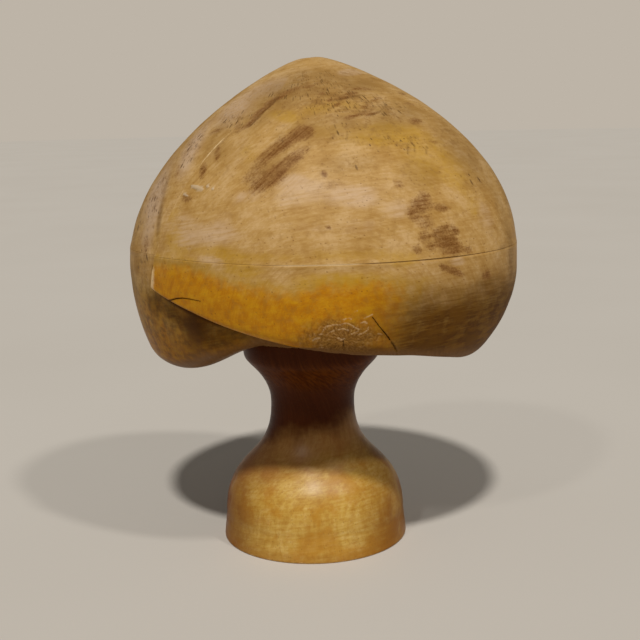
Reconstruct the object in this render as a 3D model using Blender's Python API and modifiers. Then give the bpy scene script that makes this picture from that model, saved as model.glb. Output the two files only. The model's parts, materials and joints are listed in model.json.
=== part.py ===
"""A milliner's hat block: a carved wooden head that turns on a loose peg in a turned stand.

The origin is the middle of the stand's foot, on the table. Z is up, -Y faces the viewer
and +X is the viewer's right. All lengths are metres and all turns are degrees.
"""
import math

import bmesh
import bpy

NAME = "hat_block"

# Clearances
GAP = 0.0003
PEG_CLEARANCE = 0.0003

# Stand
STAND_HEIGHT = 0.128
FOOT_RADIUS = 0.0576
FOOT_ARRIS = 0.0015
FOOT_WALL = 0.015
SHOULDER_RADIUS = 0.0561
SHOULDER_SWELL = 0.0395
WAIST_RADIUS = 0.0261
WAIST_LENGTH = 0.0015
WAIST_SWEEP = 0.038
FLARE_HEIGHT = 0.042
FLARE_SWEEP = 0.013
COLLAR_RADIUS = 0.0425
COLLAR_THICKNESS = 0.013
COLLAR_LEAN = 0.0075
COLLAR_SLOPE = 0.0075
COLLAR_ROUND = 0.0015
COLLAR_ROUND_POINTS = 3
TURNING_STEPS = 64
SWEEP_POINTS = 10

# Peg
PEG_RADIUS = 0.0125
PEG_LENGTH = 0.083
PEG_CHAMFER = 0.0015
SOCKET_DEPTH = 0.0505
SOCKET_CHAMFER = 0.001
HOLE_HEADROOM = 0.003
PEG_STEPS = 48

# Head: the plan at its widest, measured from the peak
PEAK_OFFSET = 0.0025
REACH_RIGHT = 0.1232
REACH_LEFT = 0.1128
REACH_FRONT = 0.104
REACH_BACK = 0.106

# Head: the seat is the flat that rests on the stand's collar, set up into the hollow underside.
# Every height of the head, the seat's too, is measured from one level a little below the seat.
SEAT_RISE = 0.0085
CROWN_RISE = 0.1787
TIP_ROUND = 0.008
TIP_SLOPE = 0.55
WIDEST_RISE = 0.0522
GLUE_LINE_RISE = 0.0652
SEAT_MARGIN = 0.0035

# Head: how full the crown is each way. An arch of 2 is an ellipse, and a point of 2 is a round top.
ARCH_RIGHT, ARCH_BACK, ARCH_LEFT, ARCH_FRONT = 2.36, 2.15, 1.99, 2.15
POINT_RIGHT, POINT_BACK, POINT_LEFT, POINT_FRONT = 1.19, 1.16, 1.12, 1.16

# Head: how far the wall tucks in on its way down to the rim
TUCK_RIGHT, TUCK_BACK, TUCK_LEFT, TUCK_FRONT = 0.029, 0.024, 0.0152, 0.020
TUCK_DEPTH = 0.060
TUCK_CURVE = 2.0

# Fold: the front wrap laps over the left lobe, and ends in a tip on the left. The turns below
# this one are counted from it, towards the front.
FOLD_TURN = 213.9
FOLD_RISE = 0.0465
FOLD_TOP = 0.1505
FOLD_LEAN = 15.5
FOLD_LEAN_CURVE = 1.05
FOLD_HOOK = 23.3
FOLD_HOOK_CURVE = 6.4
FOLD_REACH = 90.0
FOLD_STEP = 0.0045
FOLD_WIDTH = 1.2
FOLD_FADE_START = 0.085
FOLD_FADE_END = 0.150
FOLD_SPREAD = 38.0
FOLD_SPREAD_CURVE = 1.5
CHEEK_DEPTH = 0.005
CHEEK_TURN = 19.1
CHEEK_SPREAD = 42.0
FLAP_SWEEP = 93.0
FLAP_CURVE = 1.6
FLAP_ROUND = 0.0025

# Lobe: the inner layer, which hangs below the flap and curls in under it
LOBE_DIP = 0.0015
LOBE_CURL = 0.020
LOBE_CURL_START = 17.1
LOBE_CURL_END = 42.1
LOBE_ROUND = 0.012
LOBE_CLIMB = 0.0245
LOBE_CLIMB_START = -10.9
LOBE_CLIMB_END = 48.1
LOBE_FADE_START = 32.1
LOBE_FADE_END = 48.1
LOBE_BACK_TURN = -103.9

# Rim: it dips at the sides and back, and rises at the front
RIM_DIP = 0.0062
RIM_FRONT_RISE = 0.0108
RIM_FRONT_TURN = 84.1
RIM_SIDE_TURN = 153.1
RIM_ROUND = 0.010
UNDER_HOLLOW = 2.0
UNDER_FLAT = 0.35

# Mesh of the head: columns round it, and the steps that its rows take down each stretch
COLUMNS = 80
CROWN_STEPS = 18
FACE_STEPS = 2
WALL_STEPS = 9
LEDGE_STEPS = 4
LOBE_STEPS = 6
ROUND_STEPS = 4
UNDER_STEPS = 4
SEAT_STEPS = 2
HOLE_STEPS = 2
CROWDING = 0.55
SLOPE_STEP = 0.001
WELD_DISTANCE = 0.00001
SHARP_ANGLE = 35.0

# Worked out
SEAT = STAND_HEIGHT + GAP
LEVEL = SEAT - SEAT_RISE
SEAT_RADIUS = COLLAR_RADIUS + SEAT_MARGIN
PEG_BOTTOM = STAND_HEIGHT - SOCKET_DEPTH + GAP
PEG_TOP = PEG_BOTTOM + PEG_LENGTH
HOLE_RADIUS = PEG_RADIUS + PEG_CLEARANCE
HOLE_TOP = PEG_TOP + HOLE_HEADROOM
CROWN_FOOT_RISE = GLUE_LINE_RISE + GAP / 2
BASE_TOP_RISE = GLUE_LINE_RISE - GAP / 2
EDGE_STEPS = WALL_STEPS + LEDGE_STEPS + LOBE_STEPS + ROUND_STEPS


def mix(start, end, share):
    """The value that lies a share of the way from start to end."""
    return start + (end - start) * share


def ease(share):
    """A share from 0 to 1 that starts and ends gently."""
    share = min(max(share, 0.0), 1.0)
    return share * share * (3 - 2 * share)


def bell(distance):
    """1 in the middle, falling smoothly to 0 at a distance of 1 either way."""
    return (1 - min(abs(distance), 1.0) ** 2) ** 2


def sweep(start, start_pull, end_pull, end, points):
    """Points on a cubic curve, without its first one."""
    curve = []
    for step in range(1, points + 1):
        t = step / points
        s = 1 - t
        weights = (s ** 3, 3 * s * s * t, 3 * s * t * t, t ** 3)
        corners = (start, start_pull, end_pull, end)
        curve.append(tuple(sum(w * c[i] for w, c in zip(weights, corners)) for i in (0, 1)))
    return curve


def each_way(turn, right, back, left, front):
    """A value given for the four sides, changing smoothly between them."""
    across, along = math.cos(math.radians(turn)), math.sin(math.radians(turn))
    side = right if across > 0 else left
    depth = back if along > 0 else front
    return across ** 2 * side + along ** 2 * depth


def past_fold(column):
    """Degrees from the fold's tip to a column: below 0 on the lobe, above 0 on the wrap."""
    return (column - FOLD_TURN + 180) % 360 - 180


def plan_reach(turn):
    """The head's reach from its peak's axis, seen from above at its widest."""
    across, along = math.cos(math.radians(turn)), math.sin(math.radians(turn))
    side = REACH_RIGHT if across > 0 else REACH_LEFT
    depth = REACH_BACK if along > 0 else REACH_FRONT
    cheek = CHEEK_DEPTH * bell((past_fold(turn) - CHEEK_TURN) / CHEEK_SPREAD)
    return 1 / math.hypot(across / side, along / depth) - cheek


def crown_height(rise):
    """A height as a share of the way from the widest level to the peak."""
    return min(max((rise - WIDEST_RISE) / (CROWN_RISE - WIDEST_RISE), 0.0), 1.0)


def wall_reach(turn, rise):
    """The reach of the smooth outer surface at a height."""
    full = plan_reach(turn)
    if rise >= WIDEST_RISE:
        arch = each_way(turn, ARCH_RIGHT, ARCH_BACK, ARCH_LEFT, ARCH_FRONT)
        point = each_way(turn, POINT_RIGHT, POINT_BACK, POINT_LEFT, POINT_FRONT)
        return full * (1 - crown_height(rise) ** arch) ** (1 / point)
    tuck = each_way(turn, TUCK_RIGHT, TUCK_BACK, TUCK_LEFT, TUCK_FRONT)
    return full - tuck * ((WIDEST_RISE - rise) / TUCK_DEPTH) ** TUCK_CURVE


def wall_slope(turn, rise):
    """How fast the wall leans out as it rises."""
    return (wall_reach(turn, rise + SLOPE_STEP) - wall_reach(turn, rise)) / SLOPE_STEP


def fold_drift(column, rise):
    """How far round, in degrees, a column has moved with the fold at a height."""
    climb = (min(max(rise, FOLD_RISE), FOLD_TOP) - FOLD_RISE) / (FOLD_TOP - FOLD_RISE)
    drift = FOLD_LEAN * climb ** FOLD_LEAN_CURVE + FOLD_HOOK * climb ** FOLD_HOOK_CURVE
    return drift * bell(past_fold(column) / FOLD_REACH)


def inset(column, rise):
    """How far the lobe's side of the fold lies inside the smooth surface."""
    away = past_fold(column)
    fade = 1 - ease((rise - FOLD_FADE_START) / (FOLD_FADE_END - FOLD_FADE_START))
    fade *= math.sqrt(1 - crown_height(rise) ** 2)
    if away <= 0:
        return FOLD_STEP * fade * max(1 + away / FOLD_SPREAD, 0.0) ** FOLD_SPREAD_CURVE
    return FOLD_STEP * fade * (1 - ease(away / FOLD_WIDTH))


def rim_rise(column):
    """The height of the wrap's rim: high in front, lower at the side and back."""
    away = past_fold(column)
    if away < 0:
        return -RIM_DIP
    drop = ease((away - RIM_FRONT_TURN) / (RIM_SIDE_TURN - RIM_FRONT_TURN))
    return mix(RIM_FRONT_RISE, -RIM_DIP, drop)


def lobe_rise(column):
    """The height of the lobe's lower edge, which climbs as it runs in under the flap."""
    climb = ease((past_fold(column) - LOBE_CLIMB_START) / (LOBE_CLIMB_END - LOBE_CLIMB_START))
    return LOBE_CLIMB * climb - RIM_DIP


def lobe_depth(column):
    """How far the lobe lies inside the wrap: a little at the tip, more as it curls in."""
    away = past_fold(column)
    curl = ease((away - LOBE_CURL_START) / (LOBE_CURL_END - LOBE_CURL_START))
    return FOLD_STEP + LOBE_DIP * ease(away / FOLD_SPREAD) + LOBE_CURL * curl


def back_share(column):
    """0 where the rim starts to change on the right, 1 where the lobe begins at the back."""
    return ease((past_fold(column) + 180) / (LOBE_BACK_TURN + 180))


def lobe_share(column):
    """1 where the lobe shows below the flap, 0 where the wrap has the rim to itself."""
    away = past_fold(column)
    if away < 0:
        return back_share(column)
    return 1 - ease((away - LOBE_FADE_START) / (LOBE_FADE_END - LOBE_FADE_START))


def flap_rise(column):
    """The height of the wrap's lower edge. Behind the fold it only guides the rows."""
    away = past_fold(column)
    if away < 0:
        return mix(-RIM_DIP, FOLD_RISE, ease(away / 180 + 1))
    left = max(1 - away / FLAP_SWEEP, 0.0) ** FLAP_CURVE
    return rim_rise(column) + (FOLD_RISE - RIM_FRONT_RISE) * left


def flap_round(column):
    """The size of the rounding of the wrap's edge: crisp at the fold, softer round the rim."""
    away = past_fold(column)
    if away < 0:
        return RIM_ROUND * (1 - back_share(column))
    return mix(FLAP_ROUND * ease(away / FOLD_WIDTH), RIM_ROUND, ease(away / FLAP_SWEEP))


def rounded_edge(reach, slope, bottom, size, share):
    """A point on a rounded lower edge, from the wall's foot to the underside."""
    corner = reach - slope * size
    inner = corner - size
    weights = ((1 - share) ** 2, 2 * share * (1 - share), share * share)
    return weights[0] * reach + weights[1] * corner + weights[2] * inner, bottom + weights[0] * size


def wrap_wall(column, row):
    """A row of the wall, from the glue line down to where the flap's edge starts to round."""
    foot = flap_rise(column) + flap_round(column)
    rise = mix(BASE_TOP_RISE, foot, row / WALL_STEPS)
    turn = column + fold_drift(column, rise)
    return wall_reach(turn, rise) - inset(column, rise), rise


def wrap_edge(column, row):
    """A row of the rounding under the wrap's edge."""
    reach, foot = wrap_wall(column, WALL_STEPS)
    share = row / (LEDGE_STEPS - 1)
    return rounded_edge(reach, wall_slope(column, foot), flap_rise(column), flap_round(column), share)


def rim_profile(column, row):
    """A row where the wrap has the rim to itself: wall, rounded edge, flat underside."""
    if row <= WALL_STEPS:
        return wrap_wall(column, row)
    row -= WALL_STEPS
    if row < LEDGE_STEPS:
        return wrap_edge(column, row)
    reach, rise = wrap_edge(column, LEDGE_STEPS - 1)
    share = (row - LEDGE_STEPS + 1) / (LOBE_STEPS + ROUND_STEPS + 1)
    return mix(reach, mix(reach, SEAT_RADIUS, UNDER_FLAT), share), rise


def lobe_profile(column, row):
    """A row of the folded side: wrap, flap's edge, ledge, lobe's wall, rounded edge."""
    behind = past_fold(column) <= 0
    if row <= WALL_STEPS:
        return wrap_wall(column, row)
    row -= WALL_STEPS
    if row < LEDGE_STEPS and not behind:
        return wrap_edge(column, row)
    top = flap_rise(column)
    foot = min(lobe_rise(column) + LOBE_ROUND, top - FLAP_ROUND)
    down = max(row - LEDGE_STEPS, 0) / LOBE_STEPS
    if behind:
        top += flap_round(column)
        even = row / (LEDGE_STEPS + LOBE_STEPS)
        down = mix(down, even, ease(-past_fold(column) / FOLD_SPREAD))
    if row <= LEDGE_STEPS + LOBE_STEPS:
        rise = mix(top, foot, down)
        depth = inset(column, rise) if behind else lobe_depth(column)
        return wall_reach(column, rise) - depth, rise
    depth = inset(column, foot) if behind else lobe_depth(column)
    reach = wall_reach(column, foot) - depth
    share = (row - LEDGE_STEPS - LOBE_STEPS) / ROUND_STEPS
    return rounded_edge(reach, wall_slope(column, foot), foot - LOBE_ROUND, LOBE_ROUND, share)


def polar(turn, reach, rise, centre):
    """A point at a turn and reach round an upright axis, with its height above the level."""
    angle = math.radians(turn)
    return centre + reach * math.cos(angle), reach * math.sin(angle), LEVEL + rise


def crown_point(column, row):
    """A corner of the crown block: down its dome to the glue line, then across its flat face."""
    if row > CROWN_STEPS:
        share = (row - CROWN_STEPS) / FACE_STEPS
        turn = column + fold_drift(column, CROWN_FOOT_RISE)
        reach = wall_reach(turn, CROWN_FOOT_RISE) - inset(column, CROWN_FOOT_RISE)
        return polar(turn, reach * (1 - share), CROWN_FOOT_RISE, PEAK_OFFSET)
    walk = row / CROWN_STEPS * math.acos(crown_height(CROWN_FOOT_RISE))
    rise = max(mix(WIDEST_RISE, CROWN_RISE, math.cos(walk)), CROWN_FOOT_RISE)
    turn = column + fold_drift(column, rise)
    reach = wall_reach(turn, rise) - inset(column, rise)
    blunt = TIP_SLOPE * (math.hypot(reach, TIP_ROUND) - reach)
    return polar(turn, reach, max(rise - blunt, CROWN_FOOT_RISE), PEAK_OFFSET)


def base_point(column, row):
    """A corner of the base block: its flat face, wall, edges, underside, seat and peg hole."""
    if row <= FACE_STEPS:
        turn = column + fold_drift(column, BASE_TOP_RISE)
        return polar(turn, wrap_wall(column, 0)[0] * row / FACE_STEPS, BASE_TOP_RISE, PEAK_OFFSET)
    row -= FACE_STEPS
    edge_row = min(row, EDGE_STEPS)
    plain = rim_profile(column, edge_row)
    folded = lobe_profile(column, edge_row)
    share = lobe_share(column)
    reach = mix(plain[0], folded[0], share)
    rise = mix(plain[1], folded[1], share)
    if row <= EDGE_STEPS:
        return polar(column + fold_drift(column, rise), reach, rise, PEAK_OFFSET)
    row -= EDGE_STEPS
    if row <= UNDER_STEPS:
        share = row / UNDER_STEPS
        return polar(column, mix(reach, SEAT_RADIUS, share),
                     mix(rise, SEAT_RISE, share ** UNDER_HOLLOW), PEAK_OFFSET * (1 - share))
    row -= UNDER_STEPS
    if row <= SEAT_STEPS:
        return polar(column, mix(SEAT_RADIUS, HOLE_RADIUS, row / SEAT_STEPS), SEAT_RISE, 0.0)
    row -= SEAT_STEPS
    return polar(column, HOLE_RADIUS * min(HOLE_STEPS - row, 1), HOLE_TOP - LEVEL, 0.0)


def new_material(name, colour, roughness):
    """A plain wood colour."""
    material = bpy.data.materials.new(name)
    material.use_nodes = True
    shader = material.node_tree.nodes["Principled BSDF"]
    shader.inputs["Base Color"].default_value = (*colour, 1.0)
    shader.inputs["Roughness"].default_value = roughness
    shader.inputs["Metallic"].default_value = 0.0
    return material


def new_object(name, mesh, collection, material):
    """An object in a collection, shaded smooth with its sharp edges kept."""
    piece = bpy.data.objects.new(name, mesh)
    collection.objects.link(piece)
    mesh.materials.append(material)
    mesh.shade_smooth()
    mesh.set_sharp_from_angle(angle=math.radians(SHARP_ANGLE))
    return piece


def turned_piece(name, outline, steps, collection, material):
    """A turning: an outline of reach and height, run down its outer side and spun."""
    mesh = bpy.data.meshes.new(name)
    corners = [(reach, 0.0, height) for reach, height in outline]
    edges = [(i, i + 1) for i in range(len(corners) - 1)]
    mesh.from_pydata(corners, edges, [])
    piece = new_object(name, mesh, collection, material)
    screw = piece.modifiers.new("Turn", "SCREW")
    screw.steps = steps
    screw.render_steps = steps
    screw.use_merge_vertices = True
    screw.merge_threshold = WELD_DISTANCE
    screw.use_smooth_shade = True
    return piece


def stand_outline():
    """The stand's outline, from the socket's floor over the collar and down to the foot."""
    socket = PEG_RADIUS + PEG_CLEARANCE
    floor = STAND_HEIGHT - SOCKET_DEPTH
    waist_top = STAND_HEIGHT - FLARE_HEIGHT
    waist_foot = waist_top - WAIST_LENGTH
    collar_foot = STAND_HEIGHT - COLLAR_THICKNESS
    outline = [(0.0, floor), (socket, floor), (socket, STAND_HEIGHT - SOCKET_CHAMFER)]
    outline += [(socket + SOCKET_CHAMFER, STAND_HEIGHT)]
    outline += [(COLLAR_RADIUS - COLLAR_ROUND, STAND_HEIGHT)]
    outline += sweep((COLLAR_RADIUS - COLLAR_ROUND, STAND_HEIGHT), (COLLAR_RADIUS, STAND_HEIGHT),
                     (COLLAR_RADIUS, STAND_HEIGHT), (COLLAR_RADIUS, STAND_HEIGHT - COLLAR_ROUND),
                     COLLAR_ROUND_POINTS)
    outline += [(COLLAR_RADIUS, collar_foot)]
    outline += sweep((COLLAR_RADIUS, collar_foot),
                     (COLLAR_RADIUS - COLLAR_LEAN, collar_foot - COLLAR_SLOPE),
                     (WAIST_RADIUS, waist_top + FLARE_SWEEP), (WAIST_RADIUS, waist_top), SWEEP_POINTS)
    outline += [(WAIST_RADIUS, waist_foot)]
    outline += sweep((WAIST_RADIUS, waist_foot), (WAIST_RADIUS, waist_foot - WAIST_SWEEP),
                     (SHOULDER_RADIUS, FOOT_WALL + SHOULDER_SWELL), (SHOULDER_RADIUS, FOOT_WALL),
                     SWEEP_POINTS)
    outline += [(FOOT_RADIUS, FOOT_ARRIS), (FOOT_RADIUS - FOOT_ARRIS, 0.0), (0.0, 0.0)]
    return outline


def peg_outline():
    """The peg's outline, with a small chamfer at both ends."""
    thin = PEG_RADIUS - PEG_CHAMFER
    return [
        (0.0, PEG_TOP), (thin, PEG_TOP), (PEG_RADIUS, PEG_TOP - PEG_CHAMFER),
        (PEG_RADIUS, PEG_BOTTOM + PEG_CHAMFER), (thin, PEG_BOTTOM), (0.0, PEG_BOTTOM),
    ]


def carved_mesh(name, rows, point):
    """A carved piece: a sphere whose corners are moved to the piece's surface."""
    mesh = bpy.data.meshes.new(name)
    shape = bmesh.new()
    bmesh.ops.create_uvsphere(shape, u_segments=COLUMNS, v_segments=rows, radius=1.0)
    for corner in shape.verts:
        x, y, z = corner.co
        even_turn = math.degrees(math.atan2(y, x))
        column = FOLD_TURN + even_turn - CROWDING * math.degrees(math.sin(math.radians(even_turn)))
        row = round(math.acos(max(min(z, 1.0), -1.0)) / math.pi * rows)
        corner.co = point(column, row)
    shape.to_mesh(mesh)
    shape.free()
    return mesh


def build():
    """Makes the four pieces."""
    for old in list(bpy.data.objects):
        bpy.data.objects.remove(old, do_unlink=True)
    parts = bpy.data.collections.new(NAME)
    bpy.context.scene.collection.children.link(parts)

    stand_wood = new_material("stand_wood", (0.52, 0.25, 0.07), 0.38)
    peg_wood = new_material("peg_wood", (0.55, 0.38, 0.20), 0.60)
    base_wood = new_material("base_wood", (0.56, 0.30, 0.09), 0.45)
    crown_wood = new_material("crown_wood", (0.58, 0.36, 0.14), 0.50)

    turned_piece("stand", stand_outline(), TURNING_STEPS, parts, stand_wood)
    turned_piece("peg", peg_outline(), PEG_STEPS, parts, peg_wood)
    base_steps = FACE_STEPS + EDGE_STEPS + UNDER_STEPS + SEAT_STEPS + HOLE_STEPS
    new_object("base_block", carved_mesh("base_block", base_steps, base_point), parts, base_wood)
    crown_steps = CROWN_STEPS + FACE_STEPS
    new_object("crown_block", carved_mesh("crown_block", crown_steps, crown_point), parts, crown_wood)


build()
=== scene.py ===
# %% [markdown]
# # A milliner's hat block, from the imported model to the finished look
#
# A hat block is the wooden form that a milliner steams felt or straw over. This one is carved to
# look like a finished hat: a pointed crown, and a brim that laps over itself on the left. It is
# glued from two blocks of pale close-grained wood, and it sits on a loose peg in a turned stand.
#
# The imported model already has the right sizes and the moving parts. This script adds what the
# eye wants next: finer surfaces, tool marks, cracks, a torn patch, stains, pin holes and varnish.
# Each step starts with a cell of words like this one, and ends with a line that prints what it made.

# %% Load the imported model
import json
import math

import bmesh
import bpy
import numpy as np
from mathutils import Matrix, Vector, noise

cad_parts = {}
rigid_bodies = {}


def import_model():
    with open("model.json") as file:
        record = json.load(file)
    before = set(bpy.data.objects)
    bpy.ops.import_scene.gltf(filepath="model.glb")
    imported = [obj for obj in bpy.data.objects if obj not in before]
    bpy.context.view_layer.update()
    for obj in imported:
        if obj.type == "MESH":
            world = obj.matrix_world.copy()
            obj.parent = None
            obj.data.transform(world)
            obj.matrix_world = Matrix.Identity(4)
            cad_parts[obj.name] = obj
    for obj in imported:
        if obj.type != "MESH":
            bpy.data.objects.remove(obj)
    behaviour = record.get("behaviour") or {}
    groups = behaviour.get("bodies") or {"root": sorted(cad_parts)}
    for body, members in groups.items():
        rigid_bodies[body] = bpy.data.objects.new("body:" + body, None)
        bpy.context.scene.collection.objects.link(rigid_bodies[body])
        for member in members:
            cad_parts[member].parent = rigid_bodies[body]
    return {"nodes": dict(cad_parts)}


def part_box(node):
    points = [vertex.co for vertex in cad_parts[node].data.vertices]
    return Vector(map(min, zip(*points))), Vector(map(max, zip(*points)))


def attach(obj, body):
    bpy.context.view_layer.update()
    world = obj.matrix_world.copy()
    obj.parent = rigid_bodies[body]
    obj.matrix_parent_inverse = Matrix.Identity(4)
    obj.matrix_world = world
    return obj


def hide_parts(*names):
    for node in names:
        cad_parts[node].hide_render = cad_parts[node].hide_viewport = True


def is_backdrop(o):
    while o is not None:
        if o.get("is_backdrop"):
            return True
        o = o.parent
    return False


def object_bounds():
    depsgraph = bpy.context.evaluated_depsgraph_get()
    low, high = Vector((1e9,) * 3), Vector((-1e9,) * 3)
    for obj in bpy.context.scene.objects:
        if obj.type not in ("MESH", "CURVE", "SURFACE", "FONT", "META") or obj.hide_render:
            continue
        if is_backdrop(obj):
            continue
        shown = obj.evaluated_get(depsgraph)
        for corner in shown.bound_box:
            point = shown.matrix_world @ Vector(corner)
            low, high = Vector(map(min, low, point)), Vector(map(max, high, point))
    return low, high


for leftover in list(bpy.data.objects):
    bpy.data.objects.remove(leftover)
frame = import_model()
cad_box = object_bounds()
print("nodes:", ", ".join(sorted(frame["nodes"])))
print("whole object, mm:", [round(1000 * (high - low)) for low, high in zip(*cad_box)])

# %% [markdown]
# ## The sizes that the carver works to
#
# The head is measured the way a block maker would: how far the wood reaches from the upright
# axis under the peak, and how high a place is above one level, a little below the seat. The seat
# is the flat that rests on the stand, and it is set up into the hollow underside.
# Turns are degrees round that axis: 0 is the viewer's right, 90 the back, 180 the left and 270
# the front. These are the model's own sizes, so the fine surface lands on the plain one.

# %% Sizes of the stand, the peg and the head
STAND_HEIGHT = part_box("stand")[1].z
PEG_LOW, PEG_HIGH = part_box("peg")
PEG_RADIUS = PEG_HIGH.x
CLEARANCE = 0.0003
SEAT_RISE = 0.0085
LEVEL = STAND_HEIGHT + CLEARANCE - SEAT_RISE
PEAK_OFFSET = 0.0025
REACH_RIGHT, REACH_BACK, REACH_LEFT, REACH_FRONT = 0.1232, 0.106, 0.1128, 0.104
CROWN_RISE = 0.1787
TIP_ROUND, TIP_SLOPE = 0.008, 0.55
WIDEST_RISE = 0.0522
GLUE_LINE_RISE = 0.0652
SEAT_RADIUS = 0.046
HOLE_TOP = PEG_HIGH.z + 0.003
ARCHES = (2.36, 2.15, 1.99, 2.15)
POINTS = (1.19, 1.16, 1.12, 1.16)
TUCKS = (0.029, 0.024, 0.0152, 0.020)
TUCK_DEPTH = 0.060
print("stand", round(1000 * STAND_HEIGHT, 1), "mm high, the head's level at", round(1000 * LEVEL, 1), "mm")

# %% Sizes of the fold, the lobe under it and the rim
FOLD_TURN, FOLD_RISE, FOLD_TOP = 213.9, 0.0465, 0.1505
FOLD_LEAN, FOLD_LEAN_CURVE = 15.5, 1.05
FOLD_HOOK, FOLD_HOOK_CURVE = 23.3, 6.4
FOLD_REACH = 90.0
FOLD_STEP, FOLD_WIDTH = 0.0045, 1.2
FOLD_FADE_START, FOLD_FADE_END = 0.085, 0.150
FOLD_SPREAD, FOLD_SPREAD_CURVE = 38.0, 1.5
CHEEK_DEPTH, CHEEK_TURN, CHEEK_SPREAD = 0.005, 19.1, 42.0
FLAP_SWEEP, FLAP_CURVE, FLAP_ROUND = 93.0, 1.6, 0.0025
LOBE_DIP, LOBE_CURL, LOBE_ROUND, LOBE_CLIMB = 0.0015, 0.020, 0.012, 0.0245
LOBE_CURL_START, LOBE_CURL_END = 17.1, 42.1
LOBE_CLIMB_START, LOBE_CLIMB_END = -10.9, 48.1
LOBE_FADE_START, LOBE_FADE_END = 32.1, 48.1
LOBE_BACK_TURN = -103.9
RIM_DIP, RIM_FRONT_RISE, RIM_ROUND = 0.0062, 0.0108, 0.010
RIM_FRONT_TURN, RIM_SIDE_TURN = 84.1, 153.1
UNDER_HOLLOW, UNDER_FLAT = 2.0, 0.35
print("the fold starts", FOLD_TURN, "degrees round and", 1000 * FOLD_RISE, "mm up")

# %% [markdown]
# ## The carved surface as a few rules
#
# A carver doesn't think in points but in sections: the plan seen from above, the arch of the
# crown, and how much the wall tucks in below. Each is one short function here, and any point of
# the surface follows from them. That keeps the shape easy to change and to read.

# %% Small curves that the sections share
def mix(start, end, share):
    """The value that lies a share of the way from start to end."""
    return start + (end - start) * share


def ease(share):
    """A share from 0 to 1 that starts and ends gently."""
    share = min(max(share, 0.0), 1.0)
    return share * share * (3 - 2 * share)


def bell(distance):
    """1 in the middle, falling smoothly to 0 at a distance of 1 either way."""
    return (1 - min(abs(distance), 1.0) ** 2) ** 2


def each_way(turn, right, back, left, front):
    """A value given for the four sides, changing smoothly between them."""
    across, along = math.cos(math.radians(turn)), math.sin(math.radians(turn))
    return across ** 2 * (right if across > 0 else left) + along ** 2 * (back if along > 0 else front)


def past_fold(column):
    """Degrees from the fold's tip to a column: below 0 on the lobe, above 0 on the wrap."""
    return (column - FOLD_TURN + 180) % 360 - 180


print("half way along an ease:", ease(0.5), "and along a bell:", bell(0.5))

# %% The plan, the crown's arch and the tuck of the wall
def plan_reach(turn):
    """The head's reach from its peak's axis, seen from above at its widest."""
    across, along = math.cos(math.radians(turn)), math.sin(math.radians(turn))
    side = REACH_RIGHT if across > 0 else REACH_LEFT
    depth = REACH_BACK if along > 0 else REACH_FRONT
    cheek = CHEEK_DEPTH * bell((past_fold(turn) - CHEEK_TURN) / CHEEK_SPREAD)
    return 1 / math.hypot(across / side, along / depth) - cheek


def crown_height(rise):
    """A height as a share of the way from the widest level to the peak."""
    return min(max((rise - WIDEST_RISE) / (CROWN_RISE - WIDEST_RISE), 0.0), 1.0)


def wall_reach(turn, rise):
    """The reach of the smooth outer surface at a height."""
    full = plan_reach(turn)
    if rise >= WIDEST_RISE:
        return full * (1 - crown_height(rise) ** each_way(turn, *ARCHES)) ** (1 / each_way(turn, *POINTS))
    return full - each_way(turn, *TUCKS) * ((WIDEST_RISE - rise) / TUCK_DEPTH) ** 2


def wall_slope(turn, rise):
    """How fast the wall leans out as it rises."""
    step = 0.001
    return (wall_reach(turn, rise + step) - wall_reach(turn, rise)) / step


print("reach at the widest, mm:", [round(1000 * plan_reach(turn), 1) for turn in (0, 90, 180, 270)])

# %% [markdown]
# ## The fold, the flap and the lobe
#
# The wrap in front laps over the lobe on the left. Above the flap's tip the two meet in a ridge
# that leans round towards the peak. Below it the wrap ends in a flap, and the lobe shows under it
# and curls in. The functions say how deep the lobe lies, where the flap's edge runs, and how
# round each edge is.

# %% The fold and the two layers that meet at it
def fold_drift(column, rise):
    """How far round, in degrees, a column has moved with the fold at a height."""
    climb = (min(max(rise, FOLD_RISE), FOLD_TOP) - FOLD_RISE) / (FOLD_TOP - FOLD_RISE)
    drift = FOLD_LEAN * climb ** FOLD_LEAN_CURVE + FOLD_HOOK * climb ** FOLD_HOOK_CURVE
    return drift * bell(past_fold(column) / FOLD_REACH)


def inset(column, rise):
    """How far the lobe's side of the fold lies inside the smooth surface."""
    away = past_fold(column)
    fade = 1 - ease((rise - FOLD_FADE_START) / (FOLD_FADE_END - FOLD_FADE_START))
    fade *= math.sqrt(1 - crown_height(rise) ** 2)
    if away <= 0:
        return FOLD_STEP * fade * max(1 + away / FOLD_SPREAD, 0.0) ** FOLD_SPREAD_CURVE
    return FOLD_STEP * fade * (1 - ease(away / FOLD_WIDTH))


def lobe_depth(column):
    """How far the lobe lies inside the wrap: a little at the tip, more as it curls in."""
    away = past_fold(column)
    curl = ease((away - LOBE_CURL_START) / (LOBE_CURL_END - LOBE_CURL_START))
    return FOLD_STEP + LOBE_DIP * ease(away / FOLD_SPREAD) + LOBE_CURL * curl


def back_share(column):
    """0 where the rim starts to change on the right, 1 where the lobe begins at the back."""
    return ease((past_fold(column) + 180) / (LOBE_BACK_TURN + 180))


def lobe_share(column):
    """1 where the lobe shows below the flap, 0 where the wrap has the rim to itself."""
    away = past_fold(column)
    if away < 0:
        return back_share(column)
    return 1 - ease((away - LOBE_FADE_START) / (LOBE_FADE_END - LOBE_FADE_START))


print("the lobe lies", round(1000 * lobe_depth(FOLD_TURN + 40), 1), "mm inside the flap in front")

# %% The lower edges: rim, flap and lobe
def rim_rise(column):
    """The height of the wrap's rim: high in front, lower at the side and back."""
    away = past_fold(column)
    if away < 0:
        return -RIM_DIP
    return mix(RIM_FRONT_RISE, -RIM_DIP, ease((away - RIM_FRONT_TURN) / (RIM_SIDE_TURN - RIM_FRONT_TURN)))


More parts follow.
